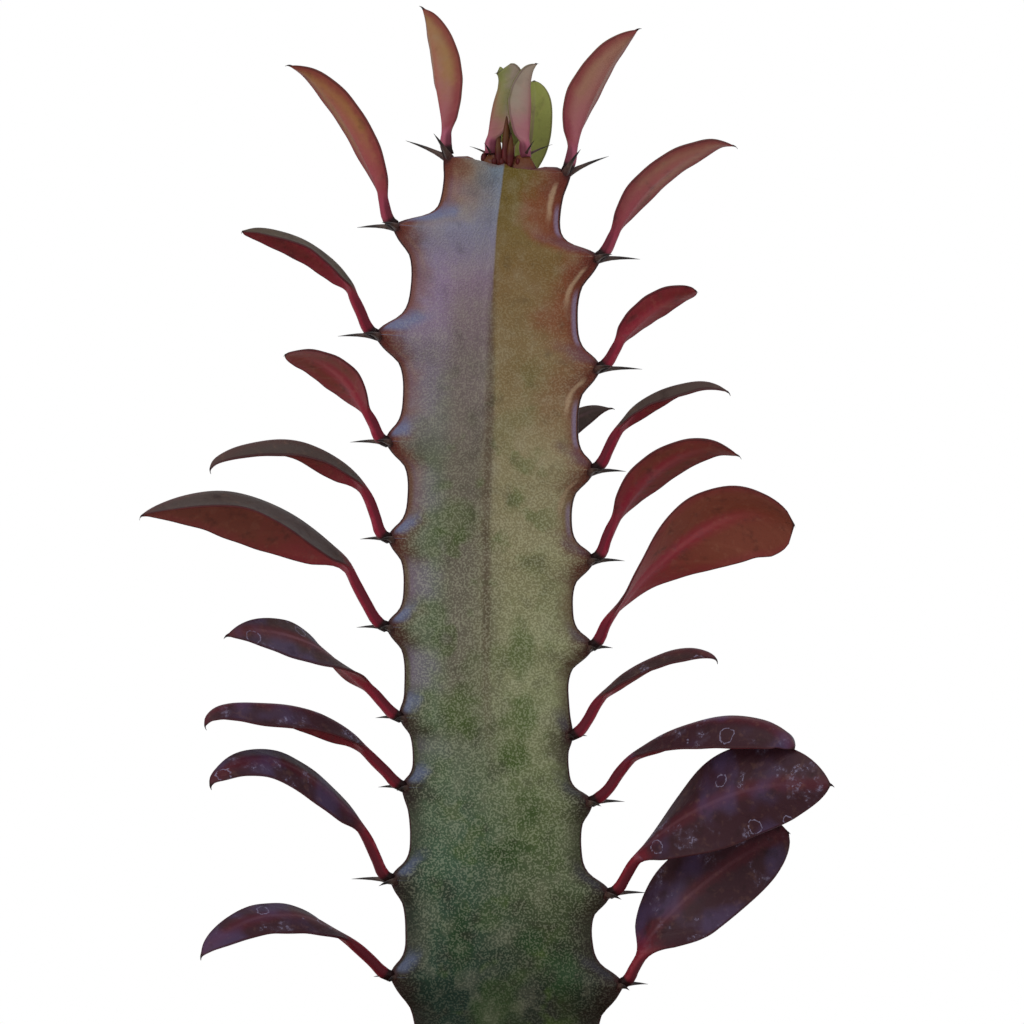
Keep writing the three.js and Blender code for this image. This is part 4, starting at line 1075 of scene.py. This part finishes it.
def leaf_finish(leaf):
    r = material("leaf_skin")
    along, aside, edge = r.note("along"), r.note("aside"), r.note("edge")
    upper, blade, age = r.note("upper"), r.note("blade"), r.note("age")
    reach = r.note("reach")
    mottle = r.grain(3.4, 3, 0.6)
    fine = r.grain(0.8, 2, 0.6)
    older = age + (mottle - 0.5) * 0.1
    top = r.palette(older, 0, 1, [(0.0, leaf.upper_young), (0.1, leaf.upper_young),
                                  (0.2, leaf.upper_second), (0.36, leaf.upper_grown),
                                  (0.6, leaf.upper_grown), (0.76, leaf.upper_old)])
    mauve = r.band(r.place("X") + (mottle - 0.5) * 4, -2.4, 0.2)
    below = r.palette(older, 0, 1, [(0.0, leaf.under_young), (0.1, leaf.under_second),
                                    (0.2, leaf.under_third), (0.3, leaf.under_deep),
                                    (0.46, leaf.under_grown), (0.6, leaf.under_grown),
                                    (0.8, leaf.under_old)])
    youngest = r.mix(leaf.green_young, leaf.mauve_young, mauve)
    below = r.coats(
        below,
        (youngest, r.band(age, 0.06, 0.02) * 0.8),
        (PINK_UNDERSIDE, r.note("pink") * 0.55))
    rib = r.mix(leaf.rib_young, leaf.rib_grown, r.band(age, 0.04, 0.3))
    rib = r.coats(
        rib,
        (leaf.rib_old, r.band(age, 0.6, 0.9)),
        # Painted shade along the round petiole's sides
        (PETIOLE_SHADE, r.band(edge, 0.75, 0.1) * (1 - blade) * 0.7),
        # Pale flecks along the petiole's middle: partly its own flecks, partly a painted highlight
        (PETIOLE_FLECK_AND_HIGHLIGHT, r.band(mottle, 0.5, 0.66) * r.band(edge, 0.5, 1) * 0.35))
    midrib = r.band(aside.size() + (mottle - 0.5) * 1.4, 3, 0.3) * r.band(along, 1.0, 0.5)
    below = r.mix(below, rib, midrib * (0.3 + 0.4 * r.band(age, 0.1, 0.3)))
    ridge = r.band(aside.size(), 1.0, 0.1) * r.band(along, 0.95, 0.5)
    below = r.coats(
        below,
        (KEEL_LINE, ridge * 0.34),
        (rib, r.band(along + (mottle - 0.5) * 0.3, 0.6, 0.16) * 0.66))
    blush = r.band(edge + (mottle - 0.5) * 2, 2.6, 0.3) * r.band(age, 0.0, 0.1)
    below = r.mix(below, leaf.edge_blush, blush * (0.75 - 0.35 * r.band(age, 0.2, 0.6)))
    veins = r.band((along * 40 - aside.size() * 1.1 + (mottle - 0.5) * 2).wave(), 0.6, 1.0)
    below = r.mix(below, VEIN, veins * 0.04)
    # Pale line along the upper midrib: partly its own tint, partly a painted highlight
    pale_midrib_and_highlight = r.band(aside.size(), 0.6, 0.14) * r.band(along, 1.0, 0.6)
    top = r.mix(top, GROOVE_LINE_AND_HIGHLIGHT, pale_midrib_and_highlight * (0.5 - 0.3 * r.band(age, 0.6, 0.9)))
    old = r.band(age, 0.58, 0.72)
    top = r.coats(
        top,
        (rib, r.band(aside.size() + (mottle - 0.5) * 3, 2.6, 0.4) * r.band(age, 0.3, 0.8) * 0.2),
        (rib, r.band(along + (mottle - 0.5) * 0.2, 0.26, 0.14) * 0.5))
    # Lilac patches on old upper sides: partly bloom, partly painted sky reflection
    sheen = r.band(r.grain(13, 2, 0.5, shift=4.0), 0.5, 0.64) * old
    top = r.mix(top, leaf.lilac_bloom_sheen, sheen * 0.4)
    film = r.band(r.grain(7, 3, 0.7, shift=1.0), 0.54, 0.7) * old
    flakes = r.band(r.grain(0.9, 2, 0.7, shift=2.0), 0.52, 0.66)
    top = r.mix(top, leaf.lime, film * (0.15 + 0.85 * flakes) * 0.5)
    wobble = (mottle - 0.5) * 0.34 + (fine - 0.5) * 0.14
    some = r.part(r.cells(6.5, "Color"), 0, "Color")
    ring = r.band((r.cells(6.5) - some * 0.3 - wobble).size(), 0.024, 0.008) * r.band(some, 0.5, 0.52)
    crust = r.band((r.grain(2.6, 3, 0.7, shift=7.0) - 0.58).size(), 0.022, 0.006) * r.band(film, 0.2, 0.6)
    top = r.mix(top, leaf.lime, ring.most(crust) * old * r.band(fine, 0.36, 0.52) * 0.6)
    colour = r.mix(below, top, r.band(upper, 0.45, 0.55))
    darkened = r.band(mottle, 0.52, 0.75) * (0.12 + 0.28 * r.band(age, 0.05, 0.25))
    colour = r.mix(colour, LEAF_SHADE, darkened)
    pale = r.band(r.grain(1.9, 2, 0.6, shift=6.0), 0.54, 0.74)
    colour = r.mix(colour, PALE_FLECK, pale * 0.06)
    colour = r.mix(rib, colour, r.band(blade + (mottle - 0.5) * 0.3, 0.1, 0.9))
    outline = r.band(edge, 0.3, 0.12) * r.band(blade, 0.5, 1)
    colour = r.coats(
        colour,
        (leaf.edge_line, outline * (0.4 + 0.25 * r.band(age, 0.05, 0.3))),
        (LEAF_SHADE, r.band(reach, 0.7, -0.5) * r.band(age, 0.02, 0.08)),
        (HOOK_TINT, r.note("hook")))
    relief = r.bump(veins * 0.2 + mottle * 0.8 + fine * 0.3, 0.12)
    return r.done(colour, 0.42 + 0.14 * mottle + 0.16 * film, relief, 0.2)


# How far a pair of spines spreads to each side, in degrees, how deep and how low it stands in its tooth,
# how steeply a grown and a young one rise, its bow and the radius at its point
SPINE_SPREAD = 40
SPINE_SUNK = 1.8
SPINE_DROP = -0.5
SPINE_LIFT = 0.03
YOUNG_SPINE_LIFT = 0.45
SPINE_BOW = 0.35
SPINE_POINT = 0.03
SPINE_SIDES = 10
SPINE_PARTS = np.array((0, 0.06, 0.13, 0.22, 0.36, 0.55, 0.75, 0.92, 1.0))

# The spines' share of their full length at each tooth, from the crown down
SPINE_SHARES = {
    "left": (1, 1, 0.9, 0.93, 0.9, 0.7, 0.75, 0.6, 0.6, 1, 0.4, 0.8),
    "right": (1.3, 1, 1, 1.06, 0.8, 0.75, 0.45, 0.35, 0.8, 0.9, 0.6, 0.7),
    "back": (1, 1, 0.95, 1, 0.85, 0.8, 0.7, 0.75, 0.6, 0.9, 0.5, 0.8),
}


def spine_piece(rib, tooth, side, spine):
    """One spine, swollen where it leaves the tooth and slightly bowed."""
    size = 1 if tooth > 0 else 0.5
    aim = direction(RIBS[rib][0] + side * SPINE_SPREAD)
    aim[2] = SPINE_LIFT if tooth > 1 else YOUNG_SPINE_LIFT
    root = tooth_point(rib, tooth, -SPINE_SUNK * size, SPINE_DROP)
    length = (spine.length / MM * SPINE_SHARES[rib][tooth] + SPINE_SUNK) * size
    radii = spine.radius / MM * size * ((1 - SPINE_PARTS) ** 0.85 + 0.5 * np.exp(-(SPINE_PARTS / 0.2) ** 2))
    radii[-1] = SPINE_POINT
    bow = SPINE_BOW * size * np.sin(math.pi * SPINE_PARTS)
    heading = aim / np.linalg.norm(aim)
    across = np.cross(heading, (0, 0, 1))
    across /= np.linalg.norm(across)
    round_it = circle(SPINE_SIDES) @ np.array((across, np.cross(heading, across), heading))
    rings = [root + aim * length * part + np.array((0, 0, rise)) + radius * round_it
             for part, radius, rise in zip(SPINE_PARTS, radii, bow)]
    return skin_over("spine", rings, {"along": np.repeat(SPINE_PARTS[:, None], SPINE_SIDES, axis=1)})


def spine_finish(spine):
    r = material("horn")
    along = r.note("along") + (r.grain(1.2, 2) - 0.5) * 0.2
    colour = r.palette(along, 0, 1, [(0.0, spine.base), (0.14, spine.base), (0.36, spine.middle),
                                     (0.62, spine.tip), (1.0, spine.tip)])
    worn = r.grain(0.6, 3, 0.65)
    colour = r.coats(
        colour,
        (WORN_HORN, r.band(worn, 0.58, 0.72) * 0.4),
        (DARK_HORN, r.band(worn, 0.46, 0.3) * 0.5))
    return r.done(colour, 0.42 + 0.2 * worn, r.bump(worn, 0.12), 0.5)


# Every bud's foot beside the axis, its lean and its length, and every scale's place and size
BUDS = (((-2, -0.8), (0.12, 0.04), 10.4), ((0.1, -2.6), (0.04, 0.06), 12.6),
        ((1.6, -2), (-0.1, 0.05), 10.4), ((-1.2, -2.4), (-0.02, 0.08), 8.6),
        ((1.1, -3.2), (0.06, 0.02), 7.4))
BUD_FOOT = 315.5
BUD_PARTS = np.array((0, 0.12, 0.3, 0.5, 0.7, 0.86, 0.96, 1.0))
BUD_SIDES = 14
BUD_RADIUS = 0.84
BUD_POINT = 0.04
BUD_KEEL = 0.22
BUD_FLATNESS = 0.72
SCALES = ((-6.1, -1.6, 317.6, 0.8), (-3.9, -2.9, 316.6, 0.62), (-2.3, -3.6, 316.4, 0.6),
          (-0.6, -3.8, 315.8, 0.5), (1.3, -3.2, 316.6, 0.55), (2.1, -1.4, 317.0, 0.6),
          (-4.7, 1.8, 317.4, 0.7), (-0.9, 3.0, 316.8, 0.7))
SCALE_PARTS = np.array((-0.95, -0.6, -0.1, 0.4, 0.8, 0.98))
SCALE_SIDES = 10
SCALE_LENGTH = 1.6


def bud_piece(foot, lean, length):
    """A leaf still rolled up: keeled, widest below its middle and drawn out to a point."""
    root = axis_point(BUD_FOOT) + np.array((*foot, 0.0))
    turn = np.linspace(0, 2 * math.pi, BUD_SIDES, endpoint=False)
    keel = 1 + BUD_KEEL * np.cos(turn - math.atan2(foot[1], foot[0]))
    radii = BUD_RADIUS * np.sin(math.pi * (0.16 + 0.84 * BUD_PARTS) ** 0.8) ** 0.8
    radii[-1] = BUD_POINT
    round_it = keel[:, None] * circle(BUD_SIDES) * np.array((1, BUD_FLATNESS, 1))
    rings = [root + np.array((*lean, 1.0)) * length * part + radius * round_it
             for part, radius in zip(BUD_PARTS, radii)]
    return skin_over("bud", rings, {"along": np.repeat(BUD_PARTS[:, None], BUD_SIDES, axis=1)})


def scale_piece(x, y, z, size):
    """A tiny scale between the buds."""
    rings = [np.array((x, y, z + SCALE_LENGTH * size * part))
             + size * math.sqrt(1 - part * part) * circle(SCALE_SIDES) for part in SCALE_PARTS]
    note = np.repeat((SCALE_PARTS * 0.2 + 0.2)[:, None], SCALE_SIDES, axis=1)
    return skin_over("scale", rings, {"along": note})


def bud_finish():
    r = material("bud_skin")
    along = r.note("along")
    colour = r.palette(along, 0, 1, [(0.0, BUD_FOOT_TINT), (0.3, BUD_LOW),
                                     (0.55, BUD_MIDDLE), (0.85, BUD_HIGH),
                                     (1.0, BUD_TIP)])
    streak = r.grain(0.9, 2, stretch=(1, 1, 0.25))
    colour = r.coats(
        colour,
        (BUD_STREAK, r.band(streak, 0.58, 0.74) * 0.4),
        (BUD_SHADE, r.band(streak, 0.46, 0.3) * 0.6))
    return r.done(colour, 0.42 + 0.1 * streak, r.bump(streak, 0.1), 0.2)


POT_SIDES = 96
DRAINS = (90, 210, 330)
DRAIN_CIRCLE = 22
DRAIN_RADIUS = 4
DRAIN_SIDES = 32

# Steps up the wall and up the rim, the height of the turning marks on them and how quickly they follow
WALL_STEPS, WALL_RIPPLE, WALL_PACE = 22, 0.09, 1.9
RIM_STEPS, RIM_RIPPLE, RIM_PACE = 6, 0.06, 2.3
CORNER_ROUNDING = 0.7
CORNER_ANGLE = 18
SHARP_ANGLE = 40


def pot_radius(pot, height, inside=False):
    outer = blend(pot.foot_radius, pot.top_radius - pot.rim_step, height / pot.height)
    return outer - pot.wall if inside else outer


def pot_profile(pot):
    """Radius and height from the underside's edge up the wall, over the rim and down to the floor."""
    rim_foot = pot.height - pot.rim_height
    line = [(pot.foot_radius - pot.edge, 0)]
    for step in range(WALL_STEPS + 1):
        height = blend(pot.edge, rim_foot, step / WALL_STEPS)
        ripple = WALL_RIPPLE * MM * math.sin(step * WALL_PACE) * min(1, step, WALL_STEPS - step)
        line.append((pot_radius(pot, height) + ripple, height))
    for step in range(RIM_STEPS + 1):
        share = step / RIM_STEPS
        ripple = RIM_RIPPLE * MM * math.sin(step * RIM_PACE) * min(1, step, RIM_STEPS - step)
        line.append((blend(pot_radius(pot, rim_foot) + pot.rim_step, pot.top_radius, share) + ripple,
                     blend(rim_foot + pot.edge, pot.height - pot.edge, share)))
    line.append((pot.top_radius - pot.edge, pot.height))
    line.append((pot_radius(pot, pot.height, True) + pot.edge, pot.height))
    line.append((pot_radius(pot, pot.height, True), pot.height - pot.edge))
    line.append((pot_radius(pot, pot.floor, True), pot.floor))
    return line


def apply_modifier(piece, kind, **settings):
    pick(piece)
    modifier = piece.modifiers.new(kind.lower(), kind)
    for key, value in settings.items():
        setattr(modifier, key, value)
    bpy.ops.object.modifier_apply(modifier=modifier.name)


def pot_piece(pot):
    line = pot_profile(pot)
    deselect()
    bpy.ops.mesh.primitive_circle_add(vertices=POT_SIDES, radius=line[0][0], fill_type="NGON")
    piece = bpy.context.object
    piece.name = piece.data.name = "pot_fine"
    bpy.ops.object.mode_set(mode="EDIT")
    bpy.ops.mesh.select_all(action="SELECT")
    bpy.ops.mesh.delete(type="ONLY_FACE")
    bpy.ops.mesh.select_all(action="SELECT")
    for (radius, height), (next_radius, next_height) in zip(line, line[1:]):
        bpy.ops.mesh.extrude_region_move(TRANSFORM_OT_translate={"value": (0, 0, next_height - height)})
        grow = next_radius / radius
        bpy.ops.transform.resize(value=(grow, grow, 1), center_override=(0, 0, 0))
    bpy.ops.mesh.edge_face_add()
    bpy.ops.mesh.select_all(action="DESELECT")
    bpy.ops.mesh.select_non_manifold()
    bpy.ops.mesh.edge_face_add()
    bpy.ops.mesh.select_all(action="SELECT")
    bpy.ops.mesh.normals_make_consistent(inside=False)
    bpy.ops.object.mode_set(mode="OBJECT")
    apply_modifier(piece, "BEVEL", width=CORNER_ROUNDING * MM, segments=3, limit_method="ANGLE",
                   angle_limit=radians(CORNER_ANGLE))
    for azimuth in DRAINS:
        x, y, _ = direction(azimuth) * DRAIN_CIRCLE * MM
        deselect()
        bpy.ops.mesh.primitive_cylinder_add(vertices=DRAIN_SIDES, radius=DRAIN_RADIUS * MM,
                                            depth=pot.floor * 2, location=(x, y, pot.floor / 2))
        drill = bpy.context.object
        apply_modifier(piece, "BOOLEAN", operation="DIFFERENCE", object=drill, solver="EXACT")
        bpy.data.objects.remove(drill)
    return piece


def pot_finish(pot):
    r = material("terracotta")
    height = r.height()
    cloud = r.grain(34, 3, 0.55)
    fine = r.grain(1.3, 3, 0.65)
    colour = r.mix(pot.dark_clay, pot.clay, r.band(cloud, 0.32, 0.66))
    turned = r.grain(3.2, 3, 0.6, (0.06, 0.06, 1))
    colour = r.mix(colour, TURNING_MARK, r.band(turned, 0.5, 0.72) * 0.3)
    chalk = r.band(r.grain(13, 4, 0.62, shift=3.0), 0.53, 0.7)
    chalk = chalk * r.band(height, 4, 26) * r.band(height, 104, 66)
    colour = r.mix(colour, pot.chalk, chalk * 0.42)
    foot = r.band(r.grain(8, 3, 0.6, shift=7.0) * 14 + height, 22, 8)
    colour = r.mix(colour, DAMP_FOOT, foot * 0.5)
    rubbed = r.band(height + (r.grain(5, 2) - 0.5) * 5, 102.2, 105.2)
    colour = r.mix(colour, RUBBED_RIM, rubbed * 0.5)
    specks = r.band(r.cells(1.7), 0.2, 0.12) * r.band(r.grain(4, 1, shift=8.0), 0.5, 0.6)
    colour = r.mix(colour, IRON_SPECK, specks * 0.5)
    relief = r.bump(turned * 0.6 + fine * 0.5, 0.3)
    return r.done(colour, 0.78 + 0.14 * fine - 0.1 * rubbed, relief, 0.25)


SOIL_RINGS = 44
SOIL_COLUMNS = 132
SOIL_SIDES = (0, 0.3, 0.6, 0.85, 0.97)
SOIL_FOOT = 7.3
SOIL_EDGE = 88.5
SOIL_SLOPE = 8
MOUND_RADIUS = 24
SOIL_GAP = 0.3

# The bumps of the mix: how wide, their share of the relief, and where in the noise they are read
BUMPS = ((7, 0.6, 3), (2.4, 0.4, 9))

# What is strewn: how many, smallest and largest radius, flatness, detail and how far it tilts
CRUMBS = (420, 0.6, 1.5, 0.8, 1, 3.0)
BARK = (80, 1.8, 4.2, 0.3, 2, 0.5)
PUMICE = (70, 0.8, 2.0, 0.8, 2, 3.0)
KINDS = 5
STREWN_SEED = 7


def soil_radius(pot, height):
    return pot_radius(pot, height * MM, True) / MM - SOIL_GAP


def soil_height(x, y, soil, pot):
    """The mix's surface, in millimetres."""
    reach = math.hypot(x, y)
    rim = soil_radius(pot, SOIL_EDGE)
    top = soil.top / MM
    level = np.interp(reach, (0, MOUND_RADIUS, rim - SOIL_SLOPE, rim), (top, top, top - 1, SOIL_EDGE))
    bumps = sum(share * noise.noise(Vector((x, y, layer)) / wide) for wide, share, layer in BUMPS)
    return float(level) + soil.relief / MM * bumps


def soil_piece(soil, pot):
    around = circle(SOIL_COLUMNS)
    rim = soil_radius(pot, SOIL_EDGE)
    rings = []
    for share in SOIL_SIDES:
        height = blend(SOIL_FOOT, SOIL_EDGE, share)
        rings.append(around * soil_radius(pot, height) + np.array((0, 0, height)))
    for share in np.linspace(1, 0.02, SOIL_RINGS):
        ring = around * rim * share
        ring[:, 2] = [soil_height(x, y, soil, pot) for x, y, _ in ring]
        rings.append(ring)
    return skin_over("soil_fine", rings)


def crumb_kinds(count, flat, detail, draw):
    """A few crumbs, each knocked out of shape in its own way."""
    kinds = []
    for _ in range(count):
        deselect()
        bpy.ops.mesh.primitive_ico_sphere_add(subdivisions=detail, radius=1)
        crumb = bpy.context.object
        in_edit(lambda: bpy.ops.transform.resize(value=(1, 0.72, flat)),
                lambda: bpy.ops.transform.vertex_random(
                    offset=0.26, uniform=0.2, seed=int(draw.integers(1, 9999))))
        kinds.append(crumb)
    return kinds


def scattered(name, kinds, places, sizes, draw, tilt):
    """Copies of a few crumbs, each with its own mesh, place, size and turn, as one piece."""
    copies = []
    for place, size in zip(places, sizes):
        kind = kinds[int(draw.integers(len(kinds)))]
        copy = bpy.data.objects.new(name, kind.data.copy())
        bpy.context.collection.objects.link(copy)
        copy.location = Vector(place) * MM
        copy.scale = (size * MM,) * 3
        copy.rotation_euler = (draw.uniform(-tilt, tilt), draw.uniform(-tilt, tilt),
                               draw.uniform(0, 2 * math.pi))
        copies.append(copy)
    for kind in kinds:
        bpy.data.objects.remove(kind)
    return joined(copies, name)


def strewn(count, low, high, draw, soil, pot):
    """Places on the mix, away from its very middle, with a size for each."""
    rim = soil_radius(pot, SOIL_EDGE)
    places, sizes = [], []
    while len(places) < count:
        size = draw.uniform(low, high)
        reach = (rim - 1.2 * size - 0.6) * math.sqrt(draw.uniform(0.05, 1))
        turn = draw.uniform(0, 2 * math.pi)
        x, y = reach * math.cos(turn), reach * math.sin(turn)
        places.append((x, y, soil_height(x, y, soil, pot) + size * draw.uniform(-0.15, 0.3)))
        sizes.append(size)
    return places, sizes


def soil_finish(soil):
    r = material("potting_mix")
    clod = r.grain(3, 4, 0.7)
    fibre = r.grain(1.6, 3, 0.7, (1, 0.25, 1), 2.0)
    colour = r.mix(soil.dark, soil.light, r.band(clod, 0.42, 0.7) * 0.8)
    colour = r.mix(colour, PALE_FIBRE, r.band(fibre, 0.6, 0.68) * 0.6)
    grit = r.band(r.cells(1.9), 0.3, 0.16) * r.band(r.grain(5, 1, shift=4.0), 0.5, 0.58)
    colour = r.mix(colour, GRIT, grit * 0.6)
    return r.done(colour, 0.9 + 0.05 * clod, r.bump(clod + fibre * 0.5, 0.9), 0.2)


def crumb_finish(name, colour, dark):
    r = material(name)
    pores = r.grain(0.9, 4, 0.7)
    tint = r.grain(6, 2)
    colour = r.coats(colour, (dark, r.band(pores, 0.5, 0.32) * 0.6), (dark, r.band(tint, 0.46, 0.7) * 0.5))
    return r.done(colour, 0.86 + 0.08 * pores, r.bump(pores, 0.3), 0.2)


class MILKTREE_OT_stem(bpy.types.Operator):
    """Models the three-ribbed stem with its teeth"""

    bl_idname = "milk_tree.stem"
    bl_label = "Stem"

    def execute(self, context):
        stem = context.scene.milk_tree_stem
        rings, notes = stem_skin_rings(stem.knuckle / MM)
        flat = rings.reshape(-1, 3)
        outward = flat - axis_point(flat[:, 2])
        outward /= np.linalg.norm(outward, axis=1, keepdims=True)
        swell = 0.7 * rough(flat, 8) + 0.3 * rough(flat, 3, 5.0)
        calm = smooth(notes["inward"].ravel(), 0.8, 3.5)
        flat = flat + outward * (stem.relief / MM * swell * calm)[:, None]
        piece = skin_over("stem_fine", flat.reshape(rings.shape), notes)
        finished(piece, stem_finish(stem), "stem_skin", "stem")
        return {"FINISHED"}


class MILKTREE_OT_spines(bpy.types.Operator):
    """Models the pair of spines at every tooth"""

    bl_idname = "milk_tree.spines"
    bl_label = "Spines"

    def execute(self, context):
        spine = context.scene.milk_tree_spine
        parts = []
        for rib in RIBS:
            for tooth in range(TOOTH_COUNT + 1):
                parts += [spine_piece(rib, tooth, side, spine) for side in (-1, 1)]
        finished(joined(parts, "spines"), spine_finish(spine), "stem_skin", "stem")
        return {"FINISHED"}


class MILKTREE_OT_crown(bpy.types.Operator):
    """Models the rolled leaf buds and tiny scales at the crown"""

    bl_idname = "milk_tree.crown"
    bl_label = "Crown"

    def execute(self, context):
        parts = [bud_piece(*bud) for bud in BUDS] + [scale_piece(*scale) for scale in SCALES]
        finished(joined(parts, "crown_buds"), bud_finish(), "young_leaf", "stem")
        return {"FINISHED"}


class MILKTREE_OT_leaves(bpy.types.Operator):
    """Models every leaf with its petiole, keeled midrib and waved edges"""

    bl_idname = "milk_tree.leaves"
    bl_label = "Leaves"

    def execute(self, context):
        leaf = context.scene.milk_tree_leaf
        skin = leaf_finish(leaf)
        for row in LEAVES:
            rib, tooth = row[:2]
            slot = "young_leaf" if tooth == 0 else "leaf"
            finished(leaf_piece(row, leaf), skin, slot, f"leaf_{rib}_{tooth:02d}")
        return {"FINISHED"}


class MILKTREE_OT_pot(bpy.types.Operator):
    """Turns the terracotta pot and drills its drain holes"""

    bl_idname = "milk_tree.pot"
    bl_label = "Pot"

    def execute(self, context):
        pot = context.scene.milk_tree_pot
        piece = finished(pot_piece(pot), pot_finish(pot), "terracotta", "pot")
        bpy.ops.object.shade_smooth_by_angle(angle=radians(SHARP_ANGLE))
        piece.data.update()
        return {"FINISHED"}


class MILKTREE_OT_soil(bpy.types.Operator):
    """Heaps the potting mix and strews it with crumbs, bark and pumice"""

    bl_idname = "milk_tree.soil"
    bl_label = "Potting mix"

    def execute(self, context):
        soil, pot = context.scene.milk_tree_soil, context.scene.milk_tree_pot
        draw = np.random.default_rng(STREWN_SEED)
        finished(soil_piece(soil, pot), soil_finish(soil), "potting_mix", "soil")
        heaps = (
            ("soil_crumbs", CRUMBS, soil.light, soil.dark),
            ("soil_bark", BARK, soil.bark, BARK_PORES),
            ("soil_pumice", PUMICE, soil.pumice, PUMICE_PORES),
        )
        for name, (count, low, high, flat, detail, tilt), colour, dark in heaps:
            places, sizes = strewn(count, low, high, draw, soil, pot)
            kinds = crumb_kinds(KINDS, flat, detail, draw)
            piece = scattered(name, kinds, places, sizes, draw, tilt)
            finished(piece, crumb_finish(name, colour, dark), "potting_mix", "soil")
            bpy.ops.object.shade_flat()
        return {"FINISHED"}


WHITE = (1, 1, 1, 1)
SKY_TINT = (0.93, 0.96, 1.0, 1)
LIT_PLACE = (0, 0, 0.2)
SENSOR_WIDTH = 36
FLOOR_SIDES = 160

# Where a light hangs, how wide it is and its tint
KEY_LIGHT = ((-0.7, -1.1, 1.0), 1.0, (1.0, 0.97, 0.93))
COOL_LIGHT = ((0.9, -0.2, 1.3), 0.9, (0.8, 0.87, 1.0))


def add_light(name, power, place, size, tint):
    """A round soft light that is turned to the object."""
    deselect()
    bpy.ops.object.light_add(type="AREA", location=place)
    light = bpy.context.object
    light.name = name
    light.rotation_euler = (Vector(LIT_PLACE) - Vector(place)).to_track_quat("-Z", "Y").to_euler()
    light.data.shape = "DISK"
    light.data.size = size
    light.data.energy = power
    light.data.color = tint


def floor_finish(stage):
    """A matt floor that fades out into the white around it."""
    r = material("pale_floor")
    flat, deep = (r.part(r.places(), axis) for axis in "XY")
    reach = (flat * flat + deep * deep) ** 0.5
    matt = r.node("ShaderNodeBsdfDiffuse", inputs={"Color": stage.floor_colour})
    glow = r.node("ShaderNodeEmission", inputs={"Color": WHITE, "Strength": 1.0})
    rim = r.band(reach, stage.floor_radius * 0.35, stage.floor_radius * 0.98)
    return r.ended(r.node("ShaderNodeMixShader", inputs={0: rim, 1: matt, 2: glow}))


def surround(stage):
    """Even light from all around, and plain white behind the object."""
    r = Recipe(bpy.data.worlds.new("studio"))
    seen = r.node("ShaderNodeBackground", inputs={"Color": WHITE})
    even = r.node("ShaderNodeBackground", inputs={"Color": SKY_TINT, "Strength": stage.sky})
    to_camera = r.node("ShaderNodeLightPath", output="Is Camera Ray")
    choice = r.node("ShaderNodeMixShader", inputs={0: to_camera, 1: even, 2: seen})
    bpy.context.scene.world = r.ended(choice, "ShaderNodeOutputWorld")


class MILKTREE_OT_stage(bpy.types.Operator):
    """Sets the pale floor, the soft light and the camera"""

    bl_idname = "milk_tree.stage"
    bl_label = "Stage"

    def execute(self, context):
        stage = context.scene.milk_tree_stage
        deselect()
        bpy.ops.mesh.primitive_circle_add(vertices=FLOOR_SIDES, radius=stage.floor_radius, fill_type="NGON")
        floor = context.object
        floor.name = "floor"
        floor.data.materials.append(floor_finish(stage))
        surround(stage)
        add_light("key", stage.key, *KEY_LIGHT)
        add_light("cool", stage.fill, *COOL_LIGHT)
        deselect()
        bpy.ops.object.camera_add(location=(0, -stage.camera_distance, stage.camera_height),
                                  rotation=(math.pi / 2, 0, 0))
        camera = context.object
        camera.data.sensor_width = SENSOR_WIDTH
        camera.data.lens = SENSOR_WIDTH * stage.camera_distance / stage.view_width
        context.scene.camera = camera
        context.scene.view_settings.view_transform = "Standard"
        return {"FINISHED"}


class MILKTREE_PT_panel(bpy.types.Panel):
    """Lists the steps and their settings"""

    bl_idname = "MILKTREE_PT_panel"
    bl_label = "Milk Tree"
    bl_space_type = "VIEW_3D"
    bl_region_type = "UI"
    bl_category = "Milk Tree"

    def draw(self, context):
        for operator in STEPS:
            self.layout.operator(operator.bl_idname)
        for name, group in SETTINGS.items():
            box = self.layout.box()
            box.label(text=name.replace("milk_tree_", "").capitalize())
            for key in group.__annotations__:
                box.prop(getattr(context.scene, name), key)


SETTINGS = {
    "milk_tree_stem": StemSettings,
    "milk_tree_spine": SpineSettings,
    "milk_tree_leaf": LeafSettings,
    "milk_tree_pot": PotSettings,
    "milk_tree_soil": SoilSettings,
    "milk_tree_stage": StageSettings,
}
STEPS = (MILKTREE_OT_stage, MILKTREE_OT_pot, MILKTREE_OT_soil, MILKTREE_OT_stem, MILKTREE_OT_spines,
         MILKTREE_OT_crown, MILKTREE_OT_leaves)


def register():
    for group in SETTINGS.values():
        bpy.utils.register_class(group)
    for name, group in SETTINGS.items():
        setattr(bpy.types.Scene, name, bpy.props.PointerProperty(type=group))
    for kind in (*STEPS, MILKTREE_PT_panel):
        bpy.utils.register_class(kind)


def unregister():
    for kind in (MILKTREE_PT_panel, *reversed(STEPS)):
        bpy.utils.unregister_class(kind)
    for name, group in SETTINGS.items():
        delattr(bpy.types.Scene, name)
        bpy.utils.unregister_class(group)


def main():
    register()
    bpy.ops.milk_tree.stage()
    bpy.ops.milk_tree.pot()
    bpy.ops.milk_tree.soil()
    bpy.ops.milk_tree.stem()
    bpy.ops.milk_tree.spines()
    bpy.ops.milk_tree.crown()
    bpy.ops.milk_tree.leaves()
    deselect()


if __name__ == "__main__":
    main()
